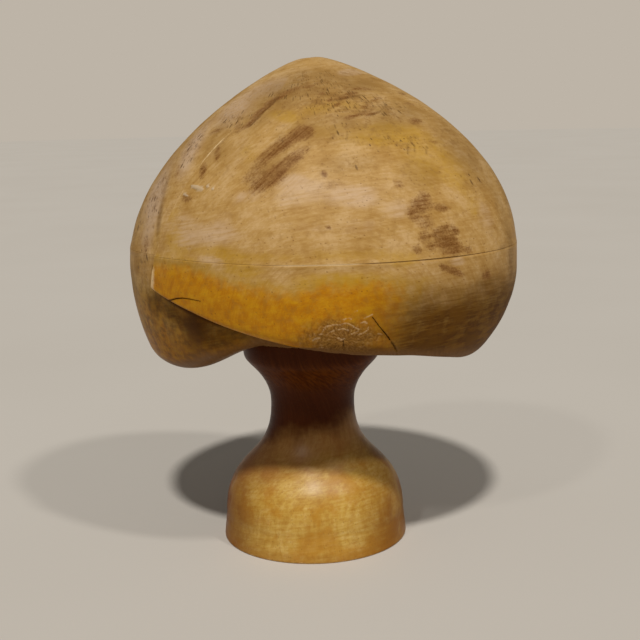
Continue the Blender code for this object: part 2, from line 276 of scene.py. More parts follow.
def lobe_rise(column):
    """The height of the lobe's lower edge, which climbs as it runs in under the flap."""
    climb = ease((past_fold(column) - LOBE_CLIMB_START) / (LOBE_CLIMB_END - LOBE_CLIMB_START))
    return LOBE_CLIMB * climb - RIM_DIP


def flap_rise(column):
    """The height of the wrap's lower edge. Behind the fold it only guides the rows."""
    away = past_fold(column)
    if away < 0:
        return mix(-RIM_DIP, FOLD_RISE, ease(away / 180 + 1))
    left = max(1 - away / FLAP_SWEEP, 0.0) ** FLAP_CURVE
    return rim_rise(column) + (FOLD_RISE - RIM_FRONT_RISE) * left


def flap_round(column):
    """The size of the rounding of the wrap's edge: crisp at the fold, softer round the rim."""
    away = past_fold(column)
    if away < 0:
        return RIM_ROUND * (1 - back_share(column))
    return mix(FLAP_ROUND * ease(away / FOLD_WIDTH), RIM_ROUND, ease(away / FLAP_SWEEP))


def rounded_edge(reach, slope, bottom, size, share):
    """A point on a rounded lower edge, from the wall's foot to the underside."""
    corner = reach - slope * size
    first, second, third = (1 - share) ** 2, 2 * share * (1 - share), share * share
    return first * reach + second * corner + third * (corner - size), bottom + first * size


print("the front rim is", round(1000 * (rim_rise(290) - rim_rise(60)), 1), "mm higher than the back")

# %% [markdown]
# ## Rows down the surface
#
# Both blocks are made from one idea: take Blender's sphere, and move each of its corners to
# where the same column and row lie on the carved wood. The rows then follow the work: fine over
# the rounded edges, wider over the plain wall. The columns crowd together at the fold, because
# that is where the smallest shapes are. The result is closed, with no seams to mend.

# %% How many columns and rows the carved mesh has
COLUMNS = 420
CROWDING = 0.55
CROWN_STEPS, FACE_STEPS, WALL_STEPS, LEDGE_STEPS = 132, 3, 40, 12
LOBE_STEPS, ROUND_STEPS, UNDER_STEPS, SEAT_STEPS, HOLE_STEPS = 26, 10, 18, 4, 2
EDGE_STEPS = WALL_STEPS + LEDGE_STEPS + LOBE_STEPS + ROUND_STEPS
BASE_STEPS = FACE_STEPS + 1 + EDGE_STEPS + UNDER_STEPS + SEAT_STEPS + HOLE_STEPS
SEAM = 0.00004


def seam_softness(turn):
    """How worn the arris is at the glue line: crisp in front, more open on the right."""
    return 0.00012 + 0.00030 * bell((turn % 360 - 318) / 34) + 0.00008 * bell((turn % 360 - 100) / 80)


print("crown:", COLUMNS * (CROWN_STEPS + 1 + FACE_STEPS), "faces; base:", COLUMNS * BASE_STEPS, "faces")

# %% The rows of the wall, the flap, the lobe and the underside
def wrap_wall(column, row):
    """A row of the wall, from the glue line down to where the flap's edge starts to round."""
    foot = flap_rise(column) + flap_round(column)
    rise = mix(GLUE_LINE_RISE - SEAM - seam_softness(column), foot, row / WALL_STEPS)
    turn = column + fold_drift(column, rise)
    return wall_reach(turn, rise) - inset(column, rise), rise


def wrap_edge(column, row):
    """A row of the rounding under the wrap's edge."""
    reach, foot = wrap_wall(column, WALL_STEPS)
    share = row / (LEDGE_STEPS - 1)
    return rounded_edge(reach, wall_slope(column, foot), flap_rise(column), flap_round(column), share)


def rim_profile(column, row):
    """A row where the wrap has the rim to itself: wall, rounded edge, flat underside."""
    if row <= WALL_STEPS:
        return wrap_wall(column, row)
    row -= WALL_STEPS
    if row < LEDGE_STEPS:
        return wrap_edge(column, row)
    reach, rise = wrap_edge(column, LEDGE_STEPS - 1)
    share = (row - LEDGE_STEPS + 1) / (LOBE_STEPS + ROUND_STEPS + 1)
    return mix(reach, mix(reach, SEAT_RADIUS, UNDER_FLAT), share), rise


def lobe_profile(column, row):
    """A row of the folded side: wrap, flap's edge, ledge, lobe's wall, rounded edge."""
    behind = past_fold(column) <= 0
    if row <= WALL_STEPS:
        return wrap_wall(column, row)
    row -= WALL_STEPS
    if row < LEDGE_STEPS and not behind:
        return wrap_edge(column, row)
    top = flap_rise(column)
    foot = min(lobe_rise(column) + LOBE_ROUND, top - FLAP_ROUND)
    down = max(row - LEDGE_STEPS, 0) / LOBE_STEPS
    if behind:
        top += flap_round(column)
        down = mix(down, row / (LEDGE_STEPS + LOBE_STEPS), ease(-past_fold(column) / FOLD_SPREAD))
    if row <= LEDGE_STEPS + LOBE_STEPS:
        rise = mix(top, foot, down)
        return wall_reach(column, rise) - (inset(column, rise) if behind else lobe_depth(column)), rise
    depth = inset(column, foot) if behind else lobe_depth(column)
    share = (row - LEDGE_STEPS - LOBE_STEPS) / ROUND_STEPS
    slope = wall_slope(column, foot)
    return rounded_edge(wall_reach(column, foot) - depth, slope, foot - LOBE_ROUND, LOBE_ROUND, share)


print("rows from the glue line to the underside:", EDGE_STEPS)

# %% The corner points of the crown block and of the base block
def polar(turn, reach, rise, centre=PEAK_OFFSET):
    """A point at a turn and reach round an upright axis, with its height above the level."""
    angle = math.radians(turn)
    return Vector((centre + reach * math.cos(angle), reach * math.sin(angle), LEVEL + rise))


def crown_point(column, row):
    """A corner of the crown block: down its dome, over the arris, across its flat glue face."""
    foot = GLUE_LINE_RISE + SEAM
    soft = seam_softness(column)
    if row > CROWN_STEPS:
        turn = column + fold_drift(column, foot)
        reach = wall_reach(turn, foot) - inset(column, foot) - soft
        return polar(turn, reach * (1 - (row - CROWN_STEPS - 1) / FACE_STEPS), foot)
    walk = row / CROWN_STEPS * math.acos(crown_height(foot))
    rise = max(mix(WIDEST_RISE, CROWN_RISE, math.cos(walk)), foot + soft)
    turn = column + fold_drift(column, rise)
    reach = wall_reach(turn, rise) - inset(column, rise)
    blunt = TIP_SLOPE * (math.hypot(reach, TIP_ROUND) - reach)
    return polar(turn, reach, max(rise - blunt, foot + soft))


def base_point(column, row):
    """A corner of the base block: glue face, wall, edges, underside, seat and peg hole."""
    top = GLUE_LINE_RISE - SEAM
    if row <= FACE_STEPS:
        reach = (wrap_wall(column, 0)[0] - seam_softness(column)) * row / FACE_STEPS
        return polar(column + fold_drift(column, top), reach, top)
    row -= FACE_STEPS + 1
    edge_row = min(row, EDGE_STEPS)
    plain, folded = rim_profile(column, edge_row), lobe_profile(column, edge_row)
    share = lobe_share(column)
    reach, rise = mix(plain[0], folded[0], share), mix(plain[1], folded[1], share)
    if row <= EDGE_STEPS:
        return polar(column + fold_drift(column, rise), reach, rise)
    row -= EDGE_STEPS
    if row <= UNDER_STEPS:
        share = row / UNDER_STEPS
        rise = mix(rise, SEAT_RISE, share ** UNDER_HOLLOW)
        return polar(column, mix(reach, SEAT_RADIUS, share), rise, PEAK_OFFSET * (1 - share))
    row -= UNDER_STEPS
    if row <= SEAT_STEPS:
        return polar(column, mix(SEAT_RADIUS, PEG_RADIUS + CLEARANCE, row / SEAT_STEPS), SEAT_RISE, 0.0)
    row -= SEAT_STEPS
    return polar(column, (PEG_RADIUS + CLEARANCE) * min(HOLE_STEPS - row, 1), HOLE_TOP - LEVEL, 0.0)


print("the peak is at", [round(1000 * c) for c in crown_point(FOLD_TURN, 0)], "mm")

# %% A sphere, with its corners moved to the carved surface
def carved_sphere(rows, point):
    """A bmesh sphere whose corners are moved to the carved piece's surface."""
    shape = bmesh.new()
    bmesh.ops.create_uvsphere(shape, u_segments=COLUMNS, v_segments=rows, radius=1.0)
    for corner in shape.verts:
        x, y, z = corner.co
        even_turn = math.degrees(math.atan2(y, x))
        column = FOLD_TURN + even_turn - CROWDING * math.degrees(math.sin(math.radians(even_turn)))
        corner.co = point(column, round(math.acos(max(min(z, 1.0), -1.0)) / math.pi * rows))
    shape.normal_update()
    return shape


crown_shape = carved_sphere(CROWN_STEPS + 1 + FACE_STEPS, crown_point)
base_shape = carved_sphere(BASE_STEPS, base_point)
for label, shape in (("crown", crown_shape), ("base", base_shape)):
    print(label, round(shape.calc_volume() * 1e6), "cm3")

# %% [markdown]
# ## Finding the way about on the finished surface
#
# Every crack, stain and dent below is placed by its turn and its height, the way one would point
# at it on the real block. These helpers go from such a place to a point in space and back. A
# column is a turn with the lean of the fold taken out.

# %% From a place on the wood to a point in space, and back
def column_at(turn, rise):
    """The column that passes a turn at a height: the turn without the fold's drift."""
    column = turn
    for _ in range(4):
        column = turn - fold_drift(column, rise)
    return column


def wood_point(turn, rise_mm):
    """The point of the smooth surface at a turn, in degrees, and a height in millimetres."""
    rise = rise_mm / 1000
    return polar(turn, wall_reach(turn, rise) - inset(column_at(turn, rise), rise), rise)


def turn_and_rise(point):
    """The turn and the height, in degrees and metres, of a point of the head."""
    return math.degrees(math.atan2(point[1], point[0] - PEAK_OFFSET)) % 360, point[2] - LEVEL


print("the flap's tip is at", [round(1000 * c) for c in wood_point(FOLD_TURN, 47.5)], "mm")

# %% [markdown]
# ## Cracks, splits and scratches
#
# Old dry wood opens along its rays. The long check in front widens towards the rim, and a short
# split follows the flap's edge. Each is a line of places, with a width at each end and a depth,
# in millimetres. A crack is a thin thing on a coarse mesh, so the faces beside it are divided
# first, and then its floor is pushed in. Its distance is kept as an attribute as well, so that
# the material can draw a crisp dark line inside the groove. The pale splinters of the torn patch
# are lines of the same kind, with no depth.

# %% The cracks, by name, and the splinters
CRACK_REACH = 0.005
NEAR_CRACK = 0.015
CRACKS = {
    "long check": ([(293.4, 36.4), (295.9, 30.4), (298.4, 25.2), (301.2, 18.8), (303.9, 12.6), (306, 4)],
                   0.2, 0.8, 1.8),
    "flap split": ([(223.9, 41.2), (227.5, 43), (230.6, 43.9), (234.3, 43.9), (238.4, 43.4)], 0.9, 0.3, 0.8),
    "rim check": ([(285, 24), (285.6, 15)], 0.2, 0.5, 0.7),
    "tip notch": ([(213, 59), (212.3, 56.5), (212.8, 54)], 0.5, 0.7, 0.9),
    "upper scratch": ([(306, 140.6), (314, 143), (320.9, 146.6)], 0.1, 0.3, 0.2),
    "peak scratch": ([(290.4, 149.2), (310.2, 152)], 0.1, 0.2, 0.2),
    "back check": ([(70.4, 42), (69.5, 34), (68, 8)], 0.6, 1.1, 1.6),
    "side scratch": ([(168, 96), (181, 101)], 0.1, 0.3, 0.2),
    "first pin scar": ([(292.8, 132.5), (291.6, 128.5)], 0.2, 0.5, 0.3),
    "second pin scar": ([(315, 124.2), (313.4, 120.3)], 0.3, 0.6, 0.4),
    "third pin scar": ([(318.2, 124.6), (316.6, 121.2)], 0.2, 0.6, 0.4),
    "fourth pin scar": ([(322.8, 123.4), (320.9, 119.9)], 0.2, 0.6, 0.4),
}.values()
SPLINTERS = [
    ([(278.7, 29.5), (279.7, 32.1), (281.9, 33), (283.9, 33), (285.4, 33.8), (286.8, 33.2), (288.4, 31.2),
      (289.9, 29.7)], 0.35, 0.2, 0),
    ([(284.8, 35.7), (286.3, 36.7), (287.3, 36)], 0.4, 0.2, 0),
    ([(291, 36.1), (292.6, 37.4), (293.3, 38)], 0.2, 0.4, 0),
    ([(275.7, 24.4), (276.7, 25.5), (277.9, 25.8)], 0.6, 0.3, 0),
    ([(277.7, 27.7), (278.9, 28.4)], 0.35, 0.2, 0),
    ([(283.5, 25.5), (284.5, 24.4), (285.5, 25.1)], 0.6, 0.4, 0),
    ([(289.5, 26.9), (291, 27.7), (292.2, 29.4), (292.3, 30.8)], 0.3, 0.5, 0),
    ([(283.4, 30.2), (284.9, 30.8), (286.7, 29.5)], 0.2, 0.2, 0),
    ([(277.7, 19.9), (278.9, 20)], 0.35, 0.2, 0),
    ([(295.6, 26.9), (296.9, 26.1)], 0.5, 0.2, 0),
    ([(288.2, 40), (288.9, 40.2)], 0.5, 0.4, 0),
    ([(290, 33.4), (291.2, 34.3), (291.9, 33.2)], 0.3, 0.4, 0),
    ([(287.3, 27.6), (288.6, 28.3), (289.4, 29.2)], 0.2, 0.2, 0),
    ([(279.9, 27.4), (280.9, 29), (282.2, 29.9)], 0.2, 0.2, 0),
]
print(len(CRACKS), "cracks and", len(SPLINTERS), "splinters")

# %% How far each point is from the nearest crack
def crack_segments(marks):
    """Each crack as straight runs: start, end, half widths and depth, all in metres."""
    for places, first, last, depth in marks:
        points = [wood_point(turn, rise) for turn, rise in places]
        runs = len(points) - 1
        for run in range(runs):
            widths = [mix(first, last, share / runs) / 2000 for share in (run, run + 1)]
            yield np.array(points[run]), np.array(points[run + 1]), widths, depth / 1000


def crack_field(points, marks):
    """How far each point is outside the nearest crack, and how deep the crack is there."""
    outside, depth = np.full(len(points), CRACK_REACH), np.zeros(len(points))
    for start, end, widths, floor in crack_segments(marks):
        along = end - start
        inward = np.array([start[0] - PEAK_OFFSET, start[1], 0.0])
        inward /= np.linalg.norm(inward)
        offset = points - start
        share = np.clip(offset @ along / (along @ along), 0, 1)
        gap = offset - share[:, None] * along
        gap -= (gap @ inward)[:, None] * inward
        near = np.linalg.norm(offset, axis=1) < np.linalg.norm(along) + NEAR_CRACK
        half = widths[0] + (widths[1] - widths[0]) * share
        clear = np.where(near, np.linalg.norm(gap, axis=1) - half, CRACK_REACH)
        outside = np.minimum(outside, clear)
        depth = np.maximum(depth, floor * np.clip(-clear / half, 0, 1) ** 0.6)
    return outside, depth


depths = [depth for *_, depth in crack_segments(CRACKS)]
print(len(depths), "straight runs, the deepest", round(1000 * max(depths), 1), "mm")

# %% [markdown]
# ## The torn patch, and the maker's tool marks
#
# In front, just above the rim, the wood is end grain, and a blunt tool has torn it out in a
# shallow ragged patch. Everywhere else the rasp and the scraper left low waves, which you only
# notice in the way light slides over the surface. Both cut inwards, so the head never grows.

# %% The torn patch and the tool marks
TORN_TURN, TORN_RISE, TORN_WIDE, TORN_HIGH = 284.2, 25.0, 0.0270, 0.0160
TORN_DEPTH, MARK_DEPTH = 0.0006, 0.00055
TORN_CENTRE = wood_point(TORN_TURN, TORN_RISE)


def torn_share(point):
    """1 inside the torn patch, 0 outside it, with a ragged edge."""
    reach = math.hypot((point[0] - TORN_CENTRE.x) / TORN_WIDE, (point[2] - TORN_CENTRE.z) / TORN_HIGH)
    if point[1] > TORN_CENTRE.y + 0.02 or reach > 1.5:
        return 0.0
    ragged = 0.22 * noise.noise(Vector(point) / 0.006) + 0.12 * noise.noise(Vector(point) / 0.002)
    return ease((1.0 - reach + ragged) / 0.65)


def torn_depth(point):
    """How deep the torn fibres go: short hollows that follow the growth rings."""
    from_heart = Vector((point[0] - 0.029, point[2] - 0.144))
    around = math.atan2(from_heart.y, from_heart.x)
    stroke = noise.noise(Vector((from_heart.length / 0.0034, around * 2.6, 3.0)))
    clump = noise.noise(Vector(point) / 0.006)
    return TORN_DEPTH * min(max(0.40 + 0.55 * stroke + 0.40 * clump, 0.0), 1.0)


def tool_marks(point):
    """Low waves from the rasp and scraper, from none to their full depth."""
    broad = noise.noise(Vector(point) / 0.038)
    short = noise.noise(Vector((point[0] / 0.016, point[1] / 0.016, point[2] / 0.009)) + Vector((7, 1, 4)))
    return MARK_DEPTH * min(max(0.5 + 0.62 * broad + 0.28 * short, 0.0), 1.0)


print("torn patch", round(2000 * TORN_WIDE), "by", round(2000 * TORN_HIGH), "mm")

# %% The crease above the fold, the gouge at its top, and the beads of old glue
CREASE_LOW, CREASE_HIGH, CREASE_DEPTH = 0.0985, 0.1375, 0.0010
GOUGE_DEPTH, GOUGE_WIDE, GOUGE_NEAR = 0.0009, 0.0032, 0.014
GOUGE = [wood_point(*place) for place in ((242.6, 137.6), (246.0, 144.0), (251.0, 152.0))]
BEAD_SLOPE, BEAD_PROUD = -0.16, 0.00042
BEADS = [(230.6, 104.2, 6.2, 1.3), (235.7, 105.0, 1.5, 0.9), (238.6, 103.8, 1.2, 0.8), (226.2, 99.9, 3.4, 0.7)]


def sideways(turn, drop=0.0):
    """The direction round the head at a turn, with a drop to it."""
    return Vector((-math.sin(math.radians(turn)), math.cos(math.radians(turn)), drop))


def crease_depth(point):
    """A narrow groove where the two layers of the hat meet above the fold."""
    turn, rise = turn_and_rise(point)
    if not CREASE_LOW - 0.01 < rise < CREASE_HIGH + 0.01:
        return 0.0
    reach = math.hypot(point[0] - PEAK_OFFSET, point[1])
    aside = math.radians(past_fold(column_at(turn, rise))) * reach
    fade = ease((rise - CREASE_LOW) / 0.008) * ease((CREASE_HIGH - rise) / 0.008)
    return CREASE_DEPTH * fade * bell((aside - 0.0004) / 0.0010)


def gouge_depth(point):
    """A soft trough where a tool slipped along the top of the fold."""
    if min((Vector(point) - place).length for place in GOUGE) > GOUGE_NEAR:
        return 0.0
    gaps = []
    for start, end in zip(GOUGE, GOUGE[1:]):
        along = end - start
        share = min(max((Vector(point) - start).dot(along) / along.length_squared, 0.0), 1.0)
        gaps.append((Vector(point) - start - share * along).length)
    ragged = 1 + 0.4 * noise.noise(Vector(point) / 0.003)
    return GOUGE_DEPTH * bell(min(gaps) / (GOUGE_WIDE * ragged))


def bead_height(point):
    """How proud a bead of dried glue stands: long low drops beside the fold."""
    height = 0.0
    for centre, along, long, wide in GLUE_BEADS:
        offset = (Vector(point) - centre) * 1000
        if offset.length < long + 2:
            across = offset.dot(along)
            round_drop = 1 - (across / long) ** 2 - ((offset - across * along).length / wide) ** 2
            height = max(height, BEAD_PROUD * wide * math.sqrt(max(round_drop, 0.0)))
    return height


GLUE_BEADS = [(wood_point(turn, rise), sideways(turn, BEAD_SLOPE), long, wide)
              for turn, rise, long, wide in BEADS]
print("crease", round(1000 * (CREASE_HIGH - CREASE_LOW)), "mm long, and", len(BEADS), "beads")

# %% Divide the faces beside the small shapes
def refine(shape, chosen, cuts):
    """Divides the edges of the faces whose centres are chosen."""
    chosen_faces = [face for face in shape.faces if chosen(face.calc_center_median())]
    edges = list({edge for face in chosen_faces for edge in face.edges})
    bmesh.ops.subdivide_edges(shape, edges=edges, cuts=cuts, use_grid_fill=True)
    return len(chosen_faces)


def refine_cracks(shape):
    """Divides the faces within a millimetre and a half of a crack."""
    centres = np.array([face.calc_center_median() for face in shape.faces])
    outside, _ = crack_field(centres, CRACKS)
    shape.faces.ensure_lookup_table()
    edges = list({edge for i in np.flatnonzero(outside < 0.0015) for edge in shape.faces[i].edges})
    bmesh.ops.subdivide_edges(shape, edges=edges, cuts=2, use_grid_fill=True)
    return len(edges)


for label, shape in (("crown", crown_shape), ("base", base_shape)):
    torn = refine(shape, lambda centre: torn_share(centre) > 0, 1)
    crease = refine(shape, lambda centre: crease_depth(centre) > 0 or gouge_depth(centre) > 0, 1)
    beads = refine(shape, lambda centre: bead_height(centre) > 0, 3)
    edges = refine_cracks(shape)
    print(label, "divided:", torn, "torn,", crease, "crease,", beads, "bead faces,", edges, "crack edges")

# %% Push the surface in where it is worn, torn or cracked
SEAM_HEIGHT = LEVEL + GLUE_LINE_RISE


def outer_wood(point):
    """Whether a point lies on the outside, and not on a glue face, the underside or the hole."""
    return math.hypot(point[0], point[1]) > SEAT_RADIUS or point[2] > SEAM_HEIGHT + 0.002


def carve(shape):
    """Moves each outer corner in along its normal by the sum of the marks there."""
    shape.normal_update()
    points = np.array([corner.co for corner in shape.verts])
    _, cracks = crack_field(points, CRACKS)
    deepest = 0.0
    for corner, crack in zip(shape.verts, cracks):
        point = corner.co.copy()
        from_seam = abs(point.z - SEAM_HEIGHT)
        if not outer_wood(point) or from_seam < 0.0001:
            continue
        torn = torn_share(point)
        depth = tool_marks(point) * ease(from_seam / 0.004)
        depth += crease_depth(point) + gouge_depth(point) - bead_height(point) + crack
        if torn:
            depth += torn * torn_depth(point)
        corner.co -= corner.normal * depth
        deepest = max(deepest, depth)
    return deepest


print("deepest cut, mm:", [round(1000 * carve(shape), 2) for shape in (crown_shape, base_shape)])

# %% [markdown]
# ## Painting where the stains, the wear, the painted shade and the painted highlights are
#
# A stain has a place, so it can't come from noise alone. Each kind of mark is an attribute, a
# number at every corner of the mesh. Most are painted from a short list of soft spots: the turn,
# the height, half the width and height in millimetres, how strong it is, and a tilt where it has
# one. The material then roughens the spots' edges with noise and lets the grain show through.

# %% Soft spots on the wood
def soft_spot(points, turn, rise, wide, high, strength, tilt=0.0):
    """How strongly one spot marks each point."""
    centre = np.array(wood_point(turn, rise))
    upward = np.array(wood_point(turn, rise + 1.5)) - centre
    upward /= np.linalg.norm(upward)
    across = np.array(sideways(turn))
    offset = (points - centre) * 1000
    side, climb = offset @ across, offset @ upward
    proud = offset @ np.cross(across, upward)
    lean = math.radians(tilt)
    u = (side * math.cos(lean) + climb * math.sin(lean)) / wide
    v = (climb * math.cos(lean) - side * math.sin(lean)) / high
    distance = np.minimum(np.sqrt(u * u + v * v + (proud / (2 * max(wide, high))) ** 2), 1)
    share = np.clip((1 - distance) * 1.25, 0, 1)
    return strength * share * share * (3 - 2 * share)


def spots(points, places):
    """Several spots together, each adding to the others where they overlap."""
    clear = np.ones(len(points))
    for place in places:
        clear *= 1 - soft_spot(points, *place)
    return 1 - clear


two_points = np.array([wood_point(270, 100), wood_point(270, 103)])
print("a spot 6 mm high, at its middle and 3 mm up:", soft_spot(two_points, 270, 100, 6, 6, 1.0).round(2))

# %% Every spot, by the kind of mark
SPOTS = {
    "stain": (
        (292.4, 147.4, 5, 2.6, 0.6, 20), (299, 151, 4.5, 2.4, 0.65, 20), (306, 153.5, 5, 2.6, 0.65, 10),
        (308, 146, 6, 2.6, 0.6, 10), (298, 141, 9, 1.8, 0.75, 10), (308.5, 142, 8, 1.8, 0.75, 8),
        (285, 153.6, 4, 2.6, 0.55, 30), (277, 158, 6, 2.4, 0.5, 20), (289, 150, 3.4, 2.2, 0.55, 60),
        (310.5, 94, 9, 6.4, 0.9, -15), (313, 98, 4.8, 5.5, 0.7, 30), (317, 92, 9.5, 3.7, 0.7, -14),
        (307.5, 89, 5.1, 6.2, 0.75, 20), (311, 85, 7.6, 6.9, 0.62), (315.5, 80, 12, 3.7, 0.8, 14),
        (320.4, 79.4, 3.4, 3.4, 1), (316.5, 75, 12, 8.3, 0.85), (318.4, 70, 11, 6.9, 0.8),
        (309.5, 77, 5.5, 4.8, 0.6), (307, 71, 4.2, 4, 0.7), (311.5, 72, 5.5, 4.2, 0.6),
        (324, 68, 5.5, 3.4, 0.6), (331, 52.5, 6.2, 4.8, 0.7), (315.2, 60, 5.4, 3.1, 0.8, -30),
        (318.6, 57.5, 10.4, 3, 0.85, -22), (273.3, 133.3, 9.5, 8, 0.9, 20), (268.5, 130.4, 14, 6.5, 0.7, 35),
        (262.5, 125.5, 15, 7.5, 0.65, 38), (258, 120, 13, 6, 0.55, 36), (262.5, 110.5, 13, 9.5, 0.8, 34),
        (258, 106.5, 11, 8, 0.6, 34), (266.5, 116, 16, 6.5, 0.6, 36), (271, 122, 14, 5, 0.45, 36),
        (254.5, 112, 13, 5.4, 0.45, 38), (328, 137.4, 8, 4.1, 0.7), (243.1, 138.7, 10, 3.8, 0.85, 52),
        (246, 145.5, 12, 3.6, 0.9, 50), (252.5, 151.5, 12, 3.2, 0.8, 34), (262, 156, 13, 3, 0.5, 24),
        (229.8, 113, 4.2, 9, 0.7, 25), (227, 98.2, 7, 3.7, 0.65), (233, 122, 3.7, 9, 0.6, 30),
        (236, 136, 4, 9, 0.5, 35), (305.4, 104.8, 4, 4.2, 0.5), (280.9, 111.4, 3.1, 3.7, 0.8),
        (281.2, 84.4, 1.6, 1.9, 1), (283.5, 106, 12, 5, 0.3, 10), (38, 88, 17.4, 9, 0.85, 20),
        (46, 80, 11.8, 4.8, 0.8), (52, 70, 11.8, 7.6, 0.7), (118, 104, 17.4, 10.4, 0.8, -15),
        (126, 98, 11.8, 4.8, 0.8, 20), (141, 76, 13.2, 9, 0.7), (162, 118, 13.2, 6.2, 0.7, 25),
        (92, 132, 14.6, 7.6, 0.7), (12, 112, 11.8, 9, 0.6), (186, 84, 11.8, 7.6, 0.6), (75, 112, 7.6, 6.2, 0.7),
        (176, 100, 6.2, 4.8, 0.8), (20, 66, 13.2, 3.4, 0.8, 10), (345, 153, 7, 3.4, 0.45, -20),
        (337, 147, 8, 2.6, 0.5, -20), (318, 150, 9, 2.2, 0.6, 14), (306, 143, 9, 2, 0.55, 14),
        (296, 140, 6, 2.4, 0.4, 10), (328, 126, 7, 2.4, 0.4, -25), (221, 134, 7, 3.6, 0.5, 30),
        (208, 70, 5, 9, 0.4, 10), (212, 112, 4, 8, 0.3, 20), (300, 152, 12, 3.2, 0.5, 10),
        (316, 156, 12, 3, 0.5, -12),
    ),
    # Pale spots: partly scrubbed places, left of the fold and above the glue line, and partly a painted
    # highlight, a band round the head from about 80 to 110 mm up and a spot near the peak.
    "pale": (
        (326, 166, 14, 6, 0.85), (248, 80, 26, 8, 0.45), (254, 100, 18, 8, 0.5), (272, 102, 20, 12, 0.55, 8),
        (290, 100, 24, 10, 0.75), (303, 92, 14, 9, 0.5), (270, 108, 12, 8, 0.6), (244, 66.5, 16, 4.4, 0.5, -6),
        (232, 76, 14, 7, 0.5), (284, 84, 30, 8, 0.35), (252, 100, 4, 4, 0.5), (246, 86, 14, 9, 0.3),
        (320, 62.5, 9, 4, 0.6), (334, 84, 12, 16, 0.45), (206, 96, 13, 26, 0.95, 14), (228, 84, 24, 12, 0.5),
        (244, 80, 22, 10, 0.45), (213, 122, 10, 24, 0.6, 22), (60, 100, 26, 10, 0.6), (105, 92, 30, 9, 0.6),
        (150, 98, 24, 9, 0.5), (356, 88, 18, 12, 0.4), (24, 96, 20, 12, 0.4), (185, 108, 16, 14, 0.5),
    ),
    # Dark spots: the first two are painted shade on the lobe's side of the fold; the rest darken low places
    # round the rim and on the lobe, partly dirt and partly painted shade.
    "dark": (
        (212.6, 86, 3.2, 18, 0.55, 12), (209, 104, 3, 12, 0.3, 18), (202, 58, 8, 10, 0.25),
        (196, 44, 12, 18, 0.3), (188, 40, 14, 30, 0.4), (212, 37, 12, 12, 0.6, -20),
        (222, 31, 14, 11, 0.75, -30), (232, 27, 12, 10, 0.7, -20), (236, 16, 22, 9, 0.55),
        (262, 9, 30, 6, 0.45), (286, 14, 36, 9, 0.5), (330, 47, 22, 6, 0.4, 6), (340, 36, 22, 14, 0.45),
        (318, 33, 26, 5, 0.35, 8), (346, 60, 9, 20, 0.5), (84, 44, 30, 10, 0.4), (128, 48, 26, 12, 0.4),
        (24, 52, 26, 14, 0.4), (340, 66, 10, 3, 0.4, 10), (324, 22, 16, 6, 0.3),
    ),
    "pins": (
        (291, 150, 30, 15, 1), (306, 147, 24, 13, 1), (320, 144, 16, 12, 0.9), (318, 126, 18, 8, 0.8),
        (292, 134, 16, 12, 0.5), (212, 124, 12, 22, 0.8, 20), (206, 98, 14, 22, 0.7), (334, 104, 14, 10, 0.5),
        (306, 128, 14, 12, 0.5), (265, 132, 10, 8, 0.5), (280, 160, 30, 14, 0.7), (256, 152, 14, 8, 0.8),
        (230, 140, 14, 10, 0.7), (206, 58, 10, 16, 0.7), (60, 140, 40, 16, 0.7), (130, 136, 40, 18, 0.7),
        (178, 120, 30, 22, 0.6), (8, 128, 30, 16, 0.6), (96, 60, 60, 7, 0.4), (198, 80, 12, 18, 0.5),
    ),
    "yellow": (
        (224, 88, 16, 9, 0.45), (240, 71, 20, 4, 0.5), (262, 69, 30, 5, 0.5), (285, 70, 36, 6, 0.6),
        (303, 66, 20, 8, 0.5), (250, 122, 12, 12, 0.7, -30), (262, 142, 18, 8, 0.8, -20),
        (284, 134, 18, 10, 0.5), (306, 132, 40, 14, 0.75), (322, 118, 34, 28, 0.5), (288, 146, 30, 10, 0.6),
        (330, 100, 20, 22, 0.4), (228, 74, 24, 12, 0.85, -6), (246, 70, 24, 8, 0.7, -6), (214, 74, 12, 12, 0.6),
        (203, 84, 6, 14, 0.7, 8), (282, 57, 34, 8, 0.9), (256, 62, 20, 5, 0.8), (310, 54, 14, 6, 0.5),
        (300, 46, 16, 6, 0.5), (330, 90, 8, 12, 0.5), (40, 110, 34, 20, 0.6), (90, 76, 46, 14, 0.6),
        (140, 120, 30, 18, 0.6), (172, 70, 26, 16, 0.5), (10, 80, 24, 16, 0.6),
    ),
    # A darker brown over the upper crown and round its sides.
    "crown darkening": (
        (285, 160, 64, 30, 0.95), (292, 138, 50, 22, 0.65), (242, 122, 20, 20, 0.3, 36),
        (250, 144, 30, 18, 0.6, 36), (226, 130, 16, 30, 0.45, 20), (206, 112, 16, 50, 0.25, 10),
        (340, 122, 28, 40, 0.75), (322, 142, 34, 18, 0.7), (262, 116, 24, 16, 0.55, 36),
        (290, 117, 24, 10, 0.4), (314, 110, 20, 16, 0.35), (344, 84, 10, 28, 0.4), (40, 130, 64, 38, 0.65),
        (100, 142, 64, 34, 0.65), (160, 132, 54, 38, 0.65), (0, 100, 28, 44, 0.45), (184, 92, 28, 36, 0.45),
        (70, 96, 44, 20, 0.3),
    ),
    "slant": (
        (254, 134, 62, 46, 1), (262, 108, 34, 20, 0.9, 20), (236, 118, 26, 34, 0.9),
    ),
    "ash": (
        (204, 96, 17, 40, 0.9, 12), (211, 126, 14, 30, 0.9, 22), (221, 146, 20, 22, 0.9, 30),
        (236, 158, 26, 14, 0.75, 20), (208, 74, 9, 12, 0.5),
    ),
    # Dark patches on the lobe under the flap, later drawn in the painted shadow's colour.
    "lobe dark patches": (
        (230, 24, 14, 19, 0.85, -15), (226, 10, 9, 7, 0.3),
    ),
}
print(", ".join(f"{len(places)} {kind}" for kind, places in SPOTS.items()), "spots")

# %% The orange varnish, and the dirt and painted shade on each place
def from_behind(turn):
    """The same turn, counted on past 360 on the right, so that nothing breaks off at the side."""
    return turn if turn > 100 else turn + 360


